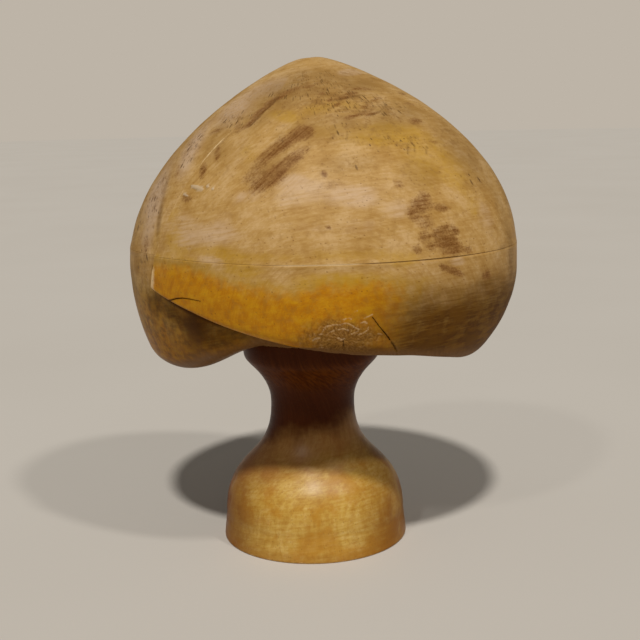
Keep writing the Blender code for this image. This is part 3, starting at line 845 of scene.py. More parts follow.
def varnish_glow(turn, rise, away, below_flap):
    """Old orange varnish: thick low down on the wrap's left, thin on the right and on the lobe."""
    top = 0.0690 - 0.0060 * ease((turn - 236) / 14) - 0.0050 * ease((turn - 248) / 20)
    low = ease((top + 0.0045 * ease((turn - 270) / 10) + 0.006 - rise) / 0.024)
    wrap = ease((away + 1) / 1.5) * ease((150 - away) / 40) if away > -1 else 0.0
    wrap *= 1 - 0.80 * ease((from_behind(turn) - 291) / 24)
    lobe = mix(0.62, 0.90, ease((0.026 - rise) / 0.02)) * ease((0.062 - rise) / 0.03)
    lobe *= ease((away + 110) / 50) if away < 48 else 0.0
    behind = 0.60 * ease((0.054 - rise) / 0.03)
    return max(low * wrap * (1 - below_flap), lobe * max(below_flap, 1.0 if away < 0 else 0.0), behind)


def left_of_fold(turn, away):
    """Whether a place lies on the lobe, to the left of the fold."""
    return away < 0 and turn > 180


def rim_dirt_and_shade(turn, rise, away, below_flap):
    """Darker towards the bottom, from the front's middle round to the right and at the back: partly dirt,
    partly painted shade. Under the flap it is painted shade.
    """
    onward = from_behind(turn)
    in_front = ease((400 - onward) / 50)
    right = 0.97 * ease((onward - 283) / 28) * ease((0.066 - rise) / 0.036) * in_front
    front = 0.75 * ease((onward - 262) / 20) * ease((0.032 - rise) / 0.020) * in_front
    back = 0.80 * ease((0.050 - rise) / 0.036) * max(ease((onward - 350) / 50), ease((212 - onward) / 50))
    # Painted shade on the lobe under the flap, deepest where the lobe curls in behind it.
    lobe = 0.36 + 0.24 * ease((away - 6) / 12) * ease((rise - 0.004) / 0.02) + 0.4 * ease((away - 30) / 10)
    tip = 0.24 * ease((0.060 - rise) / 0.020) * ease((away + 24) / 20) if left_of_fold(turn, away) else 0.0
    return min(max(right, front, back, lobe * below_flap, tip), 1.0)


print("varnish at the front of the flap:", round(varnish_glow(250, 0.045, 31, 0), 2))

# %% The bare arrises and the fold's painted highlight, the shadowed band under the flap, and the glue line
LOBE_END = 48


def bare_wood_and_highlight(rise, away, reach):
    """Arrises rubbed through to pale wood: the fold's edge, which also carries a painted highlight, and the
    flap's tip.
    """
    aside = math.radians(away) * reach
    # The fold's arris: rubbed pale, and a thin painted highlight along it.
    edge = 0.5 * bell((aside - 0.0020) / 0.0008) * ease((rise - 0.060) / 0.006) * ease((0.106 - rise) / 0.004)
    crease = mix(0.35, 0.9, ease((rise - 0.112) / 0.01)) * bell((aside + 0.0013) / 0.0009)
    crease *= ease((rise - 0.099) / 0.004) * ease((0.137 - rise) / 0.01)
    tip = bell(math.hypot(aside - 0.0018, 0.5 * (rise - 0.0515)) / 0.0062)
    flap = bell((rise - flap_rise(FOLD_TURN + away) - 0.0010) / 0.0018) if 0 < away < 10 else 0.0
    return max(edge, 0.8 * crease, tip, 0.8 * flap * (1 - ease((away - 1) / 5)))


def under_flap(rise, away, reach):
    """1 on the lobe's surface below the flap, and the shadowed band that fades below its edge."""
    if not 0 < away < LOBE_END:
        return 0.0, 0.0
    edge = flap_rise(FOLD_TURN + away)
    hidden = rise < edge + 0.0004 and reach < wall_reach(FOLD_TURN + away, rise) - 0.003
    band = 0.003 + 0.007 * away / LOBE_END
    return float(hidden), hidden * ease((rise - edge + band) / (0.6 * band))


def seam_tone(turn):
    """The glue line's look: above 0 where it shows pale, below 0 where dirt has filled it."""
    pale = ease((turn - 262) / 8) * (1 - ease((turn - 288) / 5))
    dirty = ease((turn - 288) / 6) * (1 - ease((turn - 318) / 12))
    return 0.60 * pale - 0.50 * dirty


print("the glue line at turns 270 and 300:", round(seam_tone(270), 2), round(seam_tone(300), 2))

# %% Paint every mark on one block of the head
def shape_marks(point):
    """The marks that follow the fold and the small shapes, at one point."""
    turn, rise = turn_and_rise(point)
    away = past_fold(column_at(turn, rise))
    reach = math.hypot(point[0] - PEAK_OFFSET, point[1])
    hidden, band = under_flap(rise, away, reach)
    low_left = ease((0.056 - rise) / 0.020) * ease((away + 26) / 16) if left_of_fold(turn, away) else 0.0
    near_edge = 4 < away < 60 and not hidden
    return {
        "glow": varnish_glow(turn, rise, away, hidden),
        "bare": bare_wood_and_highlight(rise, away, reach) * (1 - hidden),
        # The lobe: its surface under the flap, in painted shade, and its low left side.
        "lobe": max(hidden, low_left),
        # Painted shadow: a dark line just below the flap's edge.
        "tucked": 0.55 * bell((rise - flap_rise(FOLD_TURN + away)) / 0.0013) if near_edge else 0.0,
        "band": band,
        "dirt and shade": rim_dirt_and_shade(turn, rise, away, hidden),
        "left": ease((2 - away) / 4) if away < 90 else 1.0,
        "seam": seam_tone(turn),
        "torn": torn_share(point),
        "glue": ease(bead_height(point) / 0.0002),
        "gouge": gouge_depth(point) / GOUGE_DEPTH,
    }


def paint_head(mesh):
    """Stores every mark as an attribute, from -1 to 1."""
    points = np.array([corner.co for corner in mesh.vertices])
    down = np.array([corner.normal.z for corner in mesh.vertices])
    found = [shape_marks(point) for point in points]
    marks = {name: np.array([each[name] for each in found]) for name in found[0]}
    marks.update({kind: spots(points, places) for kind, places in SPOTS.items()})
    band = marks.pop("band")
    # Dark patches on the lobe under the flap, drawn in the painted shadow's colour.
    lobe_dark_patches = marks.pop("lobe dark patches") * marks["lobe"]
    marks["tucked"] = np.maximum(np.maximum(band, marks["tucked"]), lobe_dark_patches)
    # The dark mark gathers the dark spots, the painted shadow below the flap's edge, and the dirt and painted
    # shade low down.
    marks["dark"] = 1 - (1 - marks["dark"]) * (1 - band) * (1 - marks.pop("dirt and shade"))
    marks["ash"] *= marks.pop("left")
    # Painted shade: faces that point down, near the underside, are marked to be drawn dark.
    marks["under"] = np.clip((-0.50 - down) / 0.30, 0, 1) * (points[:, 2] < LEVEL + 0.020)
    for name, lines in (("crack", CRACKS), ("splinter", SPLINTERS)):
        marks[name] = crack_field(points, lines)[0] / CRACK_REACH
    for name, values in marks.items():
        layer = mesh.attributes.new(name, "FLOAT", "POINT")
        layer.data.foreach_set("value", np.clip(values, -1, 1).astype(np.float32))


print("marks that follow the shapes:", ", ".join(shape_marks(GOUGE[0])))

# %% Make the two blocks into objects
def finish_piece(cad_name, body, shape, ending, sharp_angle):
    """Turns a bmesh into an object that stands for its CAD node and rides on its body."""
    mesh = bpy.data.meshes.new(cad_name + ending)
    shape.to_mesh(mesh)
    shape.free()
    if body == "head":
        paint_head(mesh)
    mesh.shade_smooth()
    mesh.set_sharp_from_angle(angle=math.radians(sharp_angle))
    piece = bpy.data.objects.new(cad_name + ending, mesh)
    bpy.context.scene.collection.objects.link(piece)
    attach(piece, body)
    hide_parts(cad_name)
    triangles = sum(len(face.vertices) - 2 for face in mesh.polygons)
    print(cad_name, "has", len(mesh.vertices), "corners and", triangles, "triangles")
    return piece


crown_block = finish_piece("crown_block", "head", crown_shape, "_wood", 50)
base_block = finish_piece("base_block", "head", base_shape, "_wood", 50)
MARKS = [layer.name for layer in crown_block.data.attributes if layer.data_type == "FLOAT"]
print(len(MARKS), "marks:", ", ".join(MARKS))

# %% [markdown]
# ## The stand and the peg
#
# The stand was turned on a lathe, so it is drawn the same way: half an outline, spun round the
# upright axis. The spin has 192 steps, so that the foot's edge is round even close up. A lathe
# also leaves fine rings, which are faint waves in the outline here, and years of use leave dents,
# which are pushed in afterwards.

# %% Sizes of the stand
FOOT_RADIUS, FOOT_ARRIS, FOOT_WALL = 0.0576, 0.0015, 0.015
SHOULDER_RADIUS, SHOULDER_SWELL = 0.0561, 0.0395
WAIST_RADIUS, WAIST_LENGTH, WAIST_SWEEP = 0.0261, 0.0015, 0.038
FLARE_HEIGHT, FLARE_SWEEP = 0.042, 0.013
COLLAR_RADIUS, COLLAR_THICKNESS, COLLAR_ROUND = 0.0425, 0.013, 0.0015
COLLAR_LEAN, COLLAR_SLOPE = 0.0075, 0.0075
COLLAR_EASE, EASED_STEPS = 0.0065, 9
SOCKET_FLOOR, SOCKET_CHAMFER = PEG_LOW.z - CLEARANCE, 0.001
FOOT_RECESS, RECESS_RADIUS = 0.0012, 0.044
RING_DEPTH, RING_PITCH = 0.00006, 0.0011
KNOCK_DEPTH, FLAT_DEPTH = 0.0009, 0.0002
SPIN_STEPS = 192


def sweep(start, start_pull, end_pull, end, points):
    """Places along a curve with a handle at each end, without its first place."""
    for step in range(1, points + 1):
        t = step / points
        weights = ((1 - t) ** 3, 3 * t * (1 - t) ** 2, 3 * t * t * (1 - t), t ** 3)
        yield tuple(sum(w * c[i] for w, c in zip(weights, (start, start_pull, end_pull, end))) for i in (0, 1))


print("the foot is", round(2000 * FOOT_RADIUS, 1), "mm across, the waist", round(2000 * WAIST_RADIUS, 1), "mm")

# %% The stand's outline, from the socket's floor over the collar and down to the foot
def stand_outline():
    """Reach and height of each place on the outline, in metres."""
    socket, top = PEG_RADIUS + CLEARANCE, STAND_HEIGHT
    collar_foot, waist_top = top - COLLAR_THICKNESS, top - FLARE_HEIGHT
    waist_foot = waist_top - WAIST_LENGTH
    places = [(0.0, SOCKET_FLOOR), (socket, SOCKET_FLOOR), (socket, top - SOCKET_CHAMFER)]
    places += [(socket + SOCKET_CHAMFER, top), (COLLAR_RADIUS - COLLAR_ROUND, top)]
    rim = (COLLAR_RADIUS, top)
    places += sweep(places[-1], rim, rim, (COLLAR_RADIUS, top - COLLAR_ROUND), 6)
    flare = list(sweep((COLLAR_RADIUS, collar_foot), (COLLAR_RADIUS - COLLAR_LEAN, collar_foot - COLLAR_SLOPE),
                       (WAIST_RADIUS, waist_top + FLARE_SWEEP), (WAIST_RADIUS, waist_top), 40))
    places += [(COLLAR_RADIUS, collar_foot + COLLAR_EASE)]
    places += sweep(places[-1], (COLLAR_RADIUS, collar_foot), flare[0], flare[EASED_STEPS], 14)
    places += flare[EASED_STEPS + 1:]
    places += [(WAIST_RADIUS, waist_foot)]
    places += sweep(places[-1], (WAIST_RADIUS, waist_foot - WAIST_SWEEP),
                    (SHOULDER_RADIUS, FOOT_WALL + SHOULDER_SWELL), (SHOULDER_RADIUS, FOOT_WALL), 80)
    steps = [share / 14 for share in range(1, 15)]
    places += [(mix(SHOULDER_RADIUS, FOOT_RADIUS, s), mix(FOOT_WALL, FOOT_ARRIS, s)) for s in steps]
    places += sweep(places[-1], (FOOT_RADIUS + 0.0001, 0.0), (FOOT_RADIUS - 0.0004, 0.0),
                    (FOOT_RADIUS - FOOT_ARRIS, 0.0), 6)
    return places + [(RECESS_RADIUS + 0.001, 0.0), (RECESS_RADIUS, FOOT_RECESS), (0.0, FOOT_RECESS)]


def lathe_rings(reach, height):
    """How far the turner's gouge cut in at a height: fine rings of uneven strength."""
    if height < 0.002 or reach < 0.02 or height > STAND_HEIGHT - 0.002:
        return 0.0
    strength = 0.5 + 0.5 * noise.noise(Vector((0.0, 2.0, height / 0.012)))
    drift = 3 * noise.noise(Vector((0, 0, height / 0.004)))
    return RING_DEPTH * strength * (1 + math.sin(height / RING_PITCH + drift))


print("stand outline:", len(stand_outline()), "places")

# %% Spin an outline into a turned piece
def turned(outline):
    """A bmesh spun from an outline of reaches and heights, closed at the axis."""
    shape = bmesh.new()
    corners = [shape.verts.new((reach, 0.0, height)) for reach, height in outline]
    edges = [shape.edges.new(pair) for pair in zip(corners, corners[1:])]
    bmesh.ops.spin(shape, geom=corners + edges, cent=(0, 0, 0), axis=(0, 0, 1), dvec=(0, 0, 0),
                   angle=math.tau, steps=SPIN_STEPS, use_merge=True)
    bmesh.ops.remove_doubles(shape, verts=shape.verts, dist=0.00001)
    bmesh.ops.recalc_face_normals(shape, faces=shape.faces)
    return shape


def dents(point):
    """Knocks and flats on the stand, most of them low on the foot."""
    low = ease((0.075 - point[2]) / 0.06)
    knock = noise.noise(Vector(point) / 0.0065) - 0.42
    broad = noise.noise(Vector(point) / 0.045)
    return KNOCK_DEPTH * low * max(knock, 0.0) + FLAT_DEPTH * max(broad, 0.0)


stand_shape = turned([(reach - lathe_rings(reach, height), height) for reach, height in stand_outline()])
stand_shape.normal_update()
for corner in stand_shape.verts:
    if corner.co.xy.length > PEG_RADIUS + 0.003 and 0.0005 < corner.co.z < STAND_HEIGHT - 0.0005:
        corner.co -= corner.normal * dents(corner.co)
print("stand:", len(stand_shape.verts), "corners,", round(stand_shape.calc_volume() * 1e6), "cm3")

# %% [markdown]
# The peg is a plain dowel. Its ends are eased so that it finds the hole, and it is loose in both
# the stand and the head: the head turns on it, and lifts off it.

# %% The peg, and the two pieces made into objects
def peg_outline():
    """The peg's outline, with a softened chamfer at both ends."""
    chamfer, low, high, full = 0.0015, PEG_LOW.z, PEG_HIGH.z, PEG_RADIUS
    top = [(0.0, high), (full - chamfer - 0.0003, high), (full - chamfer, high - 0.0002)]
    side = [(full - 0.0001, high - chamfer - 0.0001)]
    side += [(full, mix(high - chamfer - 0.0006, low + chamfer + 0.0006, step / 60)) for step in range(61)]
    foot = [(full - 0.0001, low + chamfer + 0.0001), (full - chamfer, low + 0.0002)]
    return top + side + foot + [(full - chamfer - 0.0003, low), (0.0, low)]


peg_shape = turned(peg_outline())
peg_shape.normal_update()
for corner in peg_shape.verts:
    scrape = max(noise.noise(Vector((corner.co.x / 0.004, corner.co.y / 0.004, corner.co.z / 0.05))), 0)
    corner.co -= corner.normal * 0.00018 * scrape
stand = finish_piece("stand", "stand", stand_shape, "_turned", 40)
peg = finish_piece("peg", "peg", peg_shape, "_turned", 40)

# %% [markdown]
# ## Small helpers for building materials
#
# A material is a tree of nodes, and most nodes do one sum. The class below wraps what a node puts
# out, so that a sum can be written with + and *, and the node that does it is made on the way.
# The other helpers add a noise, a colour ramp, or one layer of colour over another.

# %% Values that can be added and multiplied
class Value:
    """What one node puts out. A sum with it makes the node that does the sum."""

    def __init__(self, tree, socket):
        self.tree, self.socket = tree, socket

    def __add__(self, other):
        return calc("ADD", self, other)

    def __sub__(self, other):
        return calc("SUBTRACT", self, other)

    def __rsub__(self, other):
        return calc("SUBTRACT", other, self)

    def __mul__(self, other):
        return calc("MULTIPLY", self, other)

    def __truediv__(self, other):
        return calc("DIVIDE", self, other)

    def __rtruediv__(self, other):
        return calc("DIVIDE", other, self)

    def step(self, low, high, start=0.0, end=1.0):
        """A smooth step from start to end, while this value goes from low to high."""
        links = {0: self, 1: low, 2: high, 3: start, 4: end}
        return node(self.tree, "MapRange", links, interpolation_type="SMOOTHSTEP")[0]


print("a value can be added, subtracted, multiplied, divided and stepped")

# %% Nodes and sums
def outputs_of(tree, made):
    """A node's outputs as values, by name and by number."""
    values = [Value(tree, socket) for socket in made.outputs]
    return {**{value.socket.name: value for value in values}, **dict(enumerate(values))}


def node(tree, kind, links, **settings):
    """Adds a node, sets its properties, and joins or fills its inputs. Gives back its outputs."""
    made = tree.nodes.new("ShaderNode" + kind)
    for key, value in settings.items():
        setattr(made, key, value)
    for socket, value in links.items():
        if isinstance(value, Value):
            tree.links.new(value.socket, made.inputs[socket])
        else:
            made.inputs[socket].default_value = value
    return outputs_of(tree, made)


def calc(operation, *values):
    """The result of one sum of values and numbers: ADD, MULTIPLY and so on."""
    tree = next(value.tree for value in values if isinstance(value, Value))
    return node(tree, "Math", dict(enumerate(values)), operation=operation)[0]


print("node() adds any node, and calc() adds a sum")

# %% Noise, and the parts of a point
def noise_at(point, scale, detail=2.0, roughness=0.5, distortion=0.0):
    """Cloudy noise from 0 to 1. The scale is how many clouds there are in a metre."""
    links = {"Vector": point, "Scale": scale, "Detail": detail, "Roughness": roughness}
    return node(point.tree, "TexNoise", {**links, "Distortion": distortion})[0]


def parts(point):
    """The x, y and z of a point."""
    made = node(point.tree, "SeparateXYZ", {0: point})
    return made[0], made[1], made[2]


def joined(x, y, z=0.0):
    """A point made of three values."""
    return node(x.tree, "CombineXYZ", {0: x, 1: y, 2: z})[0]


def reach_of(x, y):
    """How far a place of a plane is from its origin."""
    return calc("SQRT", x * x + y * y)


def moved(point, **settings):
    """A point shifted and turned, so that a texture lies another way."""
    return node(point.tree, "Mapping", {"Vector": point, **settings})[0]


print("noise, and points that can be split, joined and moved")

# %% Colours and layers
def shade(colour):
    """A colour of the palette by its name, or else the colour that nodes have made."""
    return (*PALETTE[colour], 1.0) if isinstance(colour, str) else colour


def blend(share, first, second):
    """The first colour where the share is 0, and the second one where it is 1."""
    return node(share.tree, "Mix", {0: share, 6: shade(first), 7: shade(second)}, data_type="RGBA")[2]


def layered(wood, *layers):
    """Colours laid over the wood one after another, each by its own share."""
    for share, colour in layers:
        wood = blend(share, wood, colour)
    return wood


def ramp(value, *stops):
    """A colour ramp through the given places and colours."""
    made = value.tree.nodes.new("ShaderNodeValToRGB")
    value.tree.links.new(value.socket, made.inputs[0])
    bar = made.color_ramp.elements
    while len(bar) < len(stops):
        bar.new(0.5)
    for stop, (place, colour) in zip(bar, stops):
        stop.position, stop.color = place, shade(colour)
    return outputs_of(value.tree, made)[0]


print("colours can be laid over one another")

# %% Groups of nodes
def new_group(name, recipe, **inputs):
    """A node group. Its recipe takes a point and the inputs, and gives its results by name."""
    group = bpy.data.node_groups.new(name, "ShaderNodeTree")
    group.interface.new_socket("Point", in_out="INPUT", socket_type="NodeSocketVector")
    for socket, value in inputs.items():
        made = group.interface.new_socket(spaced(socket), in_out="INPUT", socket_type="NodeSocketFloat")
        made.default_value = value
    starts = outputs_of(group, group.nodes.new("NodeGroupInput"))
    results = recipe(*(starts[place] for place in range(1 + len(inputs))))
    for socket in results:
        group.interface.new_socket(socket, in_out="OUTPUT", socket_type="NodeSocketFloat")
    ends = group.nodes.new("NodeGroupOutput").inputs
    for socket, value in results.items():
        group.links.new(value.socket, ends[socket])
    return group


def use_group(group, point, **links):
    """Places a group in the tree of a point, with its inputs joined or filled."""
    named = {spaced(socket): value for socket, value in links.items()}
    return node(point.tree, "Group", {"Point": point, **named}, node_tree=group)


def spaced(name):
    """A name as sockets write it, with spaces."""
    return name.replace("_", " ")


print("a group can be placed in any material of this file")

# %% Materials
def new_material(name, **constants):
    """A material and its Object coordinates. Constants go straight to the shader's sockets."""
    material = bpy.data.materials.new(name)
    material.use_nodes = True
    shader = material.node_tree.nodes["Principled BSDF"].inputs
    for socket, value in constants.items():
        shader[spaced(socket)].default_value = value
    return material, node(material.node_tree, "TexCoord", {})["Object"]


def finish_material(material, **results):
    """Joins the results to the sockets of the material's shader."""
    shader = material.node_tree.nodes["Principled BSDF"].inputs
    for socket, value in results.items():
        material.node_tree.links.new(value.socket, shader[spaced(socket)])
    return material


def bump(relief, strength, distance):
    """The surface's direction, bent by a relief of a depth in metres."""
    return node(relief.tree, "Bump", {"Height": relief, "Strength": strength, "Distance": distance})[0]


print("a material starts with new_material() and ends with finish_material()")

# %% [markdown]
# ## The figure of the wood
#
# A tree grows in rings round its heart. Each block is cut so that the heart runs from front to
# back, low down and a little to the right, so the front shows arches and the sides show long
# lines. The group measures the distance from the heart, gives it a slow waver, and makes the
# rings, the fine fibres along them, the rays across them and soft clouds of tone from it.

# %% The growth rings, fibres, rays and clouds
def growth_rings(reach):
    """Thin darker lines at uneven spacing, one for each winter."""
    links = {"W": reach * 0.3, "Scale": 1.0}
    phase = reach + node(reach.tree, "TexNoise", links, noise_dimensions="1D")[0] * 2.2
    saw = calc("FRACT", phase)
    year = node(reach.tree, "TexWhiteNoise", {"W": calc("FLOOR", phase)}, noise_dimensions="1D")[0]
    return saw.step(0.45, 0.93) * saw.step(0.95, 1.0, 1.0, 0.0) * (year * 0.7 + 0.3)


def wood_figure(point, ring_width, waver):
    """The figure round a heart that runs along Y."""
    x, y, z = parts(point)
    away = reach_of(x, z) + (noise_at(point, 17.0) - 0.5) * waver
    around = calc("ARCTAN2", x, z)

    def drawn_out(across, round_heart, along, detail=2.0, roughness=0.5):
        """Noise with a number of clouds to the metre in each of the wood's directions."""
        return noise_at(joined(away * across, around * round_heart, y * along), 1.0, detail, roughness)

    return {
        "Rings": growth_rings(away / ring_width),
        "Fibres": drawn_out(900.0, 11.0, 26.0, 4.0, 0.62),
        "Rays": drawn_out(110.0, 95.0, 60.0),
        "Clouds": drawn_out(210.0, 3.2, 12.0, 3.0, 0.6) * 0.62 + noise_at(point, 30.0, 3.0) * 0.38,
    }


WOOD_FIGURE = new_group("wood_figure", wood_figure, Ring_Width=0.004, Waver=0.003)
print(WOOD_FIGURE.name, "has", len(WOOD_FIGURE.nodes), "nodes")

# %% [markdown]
# ## Stains, pin pricks and scuffs
#
# A stain soaks into wood unevenly, so its edge is ragged, and it shows more in the open grain.
# Pins leave small dark pricks, longer than they are wide, in rows where the hat's edge was held.
# Scraping and wiping leave long faint strokes. All three are groups, because the head and the
# stand both carry them.

# %% Ragged stains, scuffs and pin pricks
UNWRAP_REACH, UNWRAP_SLOPE = 0.08, 0.6


def ragged_stain(point, mask, size, ragged, softness):
    """Roughens a soft mask: its middle stays filled, its edge breaks into specks."""
    raised = mask + (noise_at(point, 1.0 / size, 5.0, 0.62) - 0.5) * (ragged * 4.0)
    return {"Stain": raised.step(0.5 - softness, softness + 0.5) * mask.step(0.01, 0.30)}


def scuffs(point, width, stroke_length):
    """Long faint strokes, some pale and some dark, and a fine mottle."""
    along = 1.0 / stroke_length
    links = {0: moved(point, Rotation=(0.10, 0.14, 0.0)), 1: joined(along, along, 1.0 / width)}
    laid = node(point.tree, "VectorMath", links, operation="MULTIPLY")[0]
    return {"Strokes": noise_at(laid, 1.0, 5.0, 0.66), "Mottle": noise_at(point, 420.0, 4.0, 0.6)}


def pin_pricks(point, density, spacing, slimness):
    """Small dark dashes that run up the surface, some present and some not."""
    x, y, z = parts(point)
    around = calc("ARCTAN2", x, y * -1.0) * UNWRAP_REACH
    climb = (z - reach_of(x, y) * UNWRAP_SLOPE) * slimness
    links = {"Vector": joined(climb * 0.3 + around, climb), "Scale": 1.0 / spacing}
    cells = node(point.tree, "TexVoronoi", links, voronoi_dimensions="2D")
    chance = node(point.tree, "SeparateColor", {0: cells["Color"]})
    present = calc("LESS_THAN", chance[0], density) * (chance[1] * 0.7 + 0.3)
    return {"Holes": cells["Distance"].step(0.08, 0.24, 1.0, 0.0) * present}


RAGGED_STAIN = new_group("ragged_stain", ragged_stain, Mask=0.0, Size=0.004, Ragged=0.6, Softness=0.25)
SCUFFS = new_group("scuffs", scuffs, Width=0.0015, Length=0.02)
PIN_PRICKS = new_group("pin_pricks", pin_pricks, Density=0.0, Spacing=0.003, Slimness=0.4)
print("made", ", ".join(group.name for group in (RAGGED_STAIN, SCUFFS, PIN_PRICKS)))

# %% [markdown]
# ## The palette
#
# Every colour in the scene has a name. The numbers are linear, so they look darker here than
# they do on a screen: red, green and blue, from 0 to 1.

# %% The colours of the head, the stand, the peg and the room
PALETTE = {
    "light wood": (0.57, 0.36, 0.150), "middle wood": (0.48, 0.28, 0.088), "deep wood": (0.38, 0.20, 0.048),
    "winter ring": (0.36, 0.175, 0.04), "fine mottle": (0.40, 0.21, 0.055), "bare wood": (0.76, 0.54, 0.28),
    "ochre": (0.47, 0.255, 0.016), "pink grey": (0.58, 0.39, 0.225), "ashen": (0.53, 0.365, 0.235),
    "ashen prick": (0.17, 0.085, 0.032), "old film": (0.215, 0.115, 0.036), "film speck": (0.24, 0.120, 0.030),
    "light honey": (0.56, 0.25, 0.002), "deep honey": (0.45, 0.155, 0.001), "honey fleck": (0.64, 0.34, 0.012),
    "honey ring": (0.36, 0.12, 0.001), "honey clot": (0.34, 0.105, 0.0005), "clear honey": (0.62, 0.33, 0.006),
    "thin honey": (0.48, 0.265, 0.006), "grime": (0.085, 0.030, 0.003), "dry grime": (0.17, 0.070, 0.004),
    "grubby": (0.21, 0.100, 0.026), "lobe deep": (0.050, 0.021, 0.002), "lobe light": (0.24, 0.095, 0.003),
    "lobe clot": (0.075, 0.027, 0.002), "tucked shadow": (0.045, 0.011, 0.001), "halo": (0.25, 0.108, 0.036),
    "stain": (0.145, 0.052, 0.008), "torn deep": (0.14, 0.058, 0.010), "torn middle": (0.24, 0.115, 0.024),
    "torn light": (0.36, 0.19, 0.05), "torn hollow": (0.10, 0.036, 0.005), "torn crest": (0.46, 0.27, 0.11),
    "splinter": (0.60, 0.39, 0.20), "gouge": (0.13, 0.055, 0.014), "pin hole": (0.080, 0.034, 0.008),
    "cleft": (0.075, 0.024, 0.004), "old glue": (0.60, 0.45, 0.28), "pale seam": (0.74, 0.55, 0.30),
    "under deep": (0.10, 0.042, 0.010), "under light": (0.24, 0.12, 0.040),
    "foot deep": (0.40, 0.195, 0.020), "foot middle": (0.52, 0.305, 0.055), "foot light": (0.64, 0.43, 0.13),
    "foot patch": (0.43, 0.185, 0.010), "foot mottle": (0.36, 0.15, 0.014), "foot ring": (0.34, 0.14, 0.02),
    "foot side": (0.170, 0.044, 0.0004), "foot edge": (0.30, 0.115, 0.010), "foot speck": (0.14, 0.05, 0.008),
    "rubbed foot": (0.66, 0.42, 0.17), "brown deep": (0.19, 0.062, 0.012), "brown light": (0.42, 0.19, 0.065),
    "neck deep": (0.034, 0.004, 0.0004), "neck light": (0.080, 0.014, 0.0012), "flare": (0.18, 0.052, 0.003),
    "peg deep": (0.40, 0.24, 0.10), "peg light": (0.64, 0.45, 0.24), "peg ring": (0.36, 0.20, 0.075),
    "peg smudge": (0.20, 0.10, 0.04), "peg collar": (0.13, 0.06, 0.02),
    "floor deep": (0.54, 0.49, 0.42), "floor light": (0.58, 0.53, 0.46),
    "room light": (1.0, 0.96, 0.91), "backdrop": (0.510, 0.456, 0.387),
}
print(len(PALETTE), "colours")

# %% [markdown]
# ## The head's wood
#
# The colour is built up in the order in which it came about: first the bare wood with its figure, then the
# varnish and how it yellowed, then rubbed places, dirt, stains and holes. Painted shade and painted highlights
# are laid in among them: shade under the flap, beside the fold, low down and on faces that point down, and a
# highlight band round the upper head and along the fold's arris. Each layer blends over the one before through
# its painted mask. Roughness and bump follow the same masks, so a stain is also a little rougher, and a crack
# is also a dent.

# %% The bare wood, its yellowed places, and its scrubbed places and painted highlight
def bare_figure(point, figure, strokes, mottle, ring_share):
    """Pale wood with soft clouds, faint rings and fibres, and a fine mottle."""
    tone = figure["Fibres"] * 0.16 + figure["Clouds"] * 0.20 + noise_at(point, 62.0, 6.0, 0.62) * 0.40
    wood = ramp(tone + strokes * 0.24, (0.42, "deep wood"), (0.50, "middle wood"), (0.58, "light wood"))
    return layered(wood, (figure["Rings"] * ring_share, "winter ring"),
                   (mottle.step(0.44, 0.62, 0.0, 0.28), "fine mottle"))


def weathered(wood, painted, point, strokes, mottle):
    """Places where old varnish yellowed, pinkish grey places that are partly scrubbed back and partly a painted
    highlight, and a darker brown over the crown.
    """
    patch = noise_at(point, 34.0, 4.0, 0.6)
    yellow = ((patch - 0.5) * 1.8 + painted["yellow"]).step(0.15, 0.85) * mottle.step(0.30, 0.60, 1.0, 0.72)
    # The pinkish grey is partly scrubbed wood and partly a painted highlight.
    grey = ((patch - 0.5) * -1.4 + painted["pale"]).step(0.10, 0.80) * strokes.step(0.38, 0.58, 0.45, 1.0)
    return layered(
        wood,
        (yellow * 0.62, "ochre"),
        (grey * 0.8, "pink grey"),
        (painted["ash"] * mottle.step(0.34, 0.62, 0.85, 0.55), "ashen"),
        # A darker brown laid over the upper crown and round its sides.
        (painted["crown darkening"] * patch.step(0.36, 0.62, 0.42, 0.70), "old film"))


print("the wood's two lowest layers can be laid")

# %% Varnish, and dirt and painted shade over it
def honey_varnish(figure, strokes, mottle, clot, thickness):
    """Old orange varnish, streaked with the grain, clotted, and thin at its edges."""
    honey = layered(
        blend(figure["Fibres"].step(0.36, 0.64, 0.30, 0.80), "deep honey", "light honey"),
        (strokes.step(0.40, 0.56, 0.35, 0.0), "deep honey"),
        (mottle.step(0.48, 0.64, 0.0, 0.34), "honey fleck"),
        (figure["Rings"] * 0.16, "honey ring"),
        (clot.step(0.46, 0.68, 0.0, 0.42), "honey clot"),
        (clot.step(0.36, 0.48, 0.40, 0.0), "clear honey"))
    return blend(thickness.step(0.25, 0.95), "thin honey", honey)


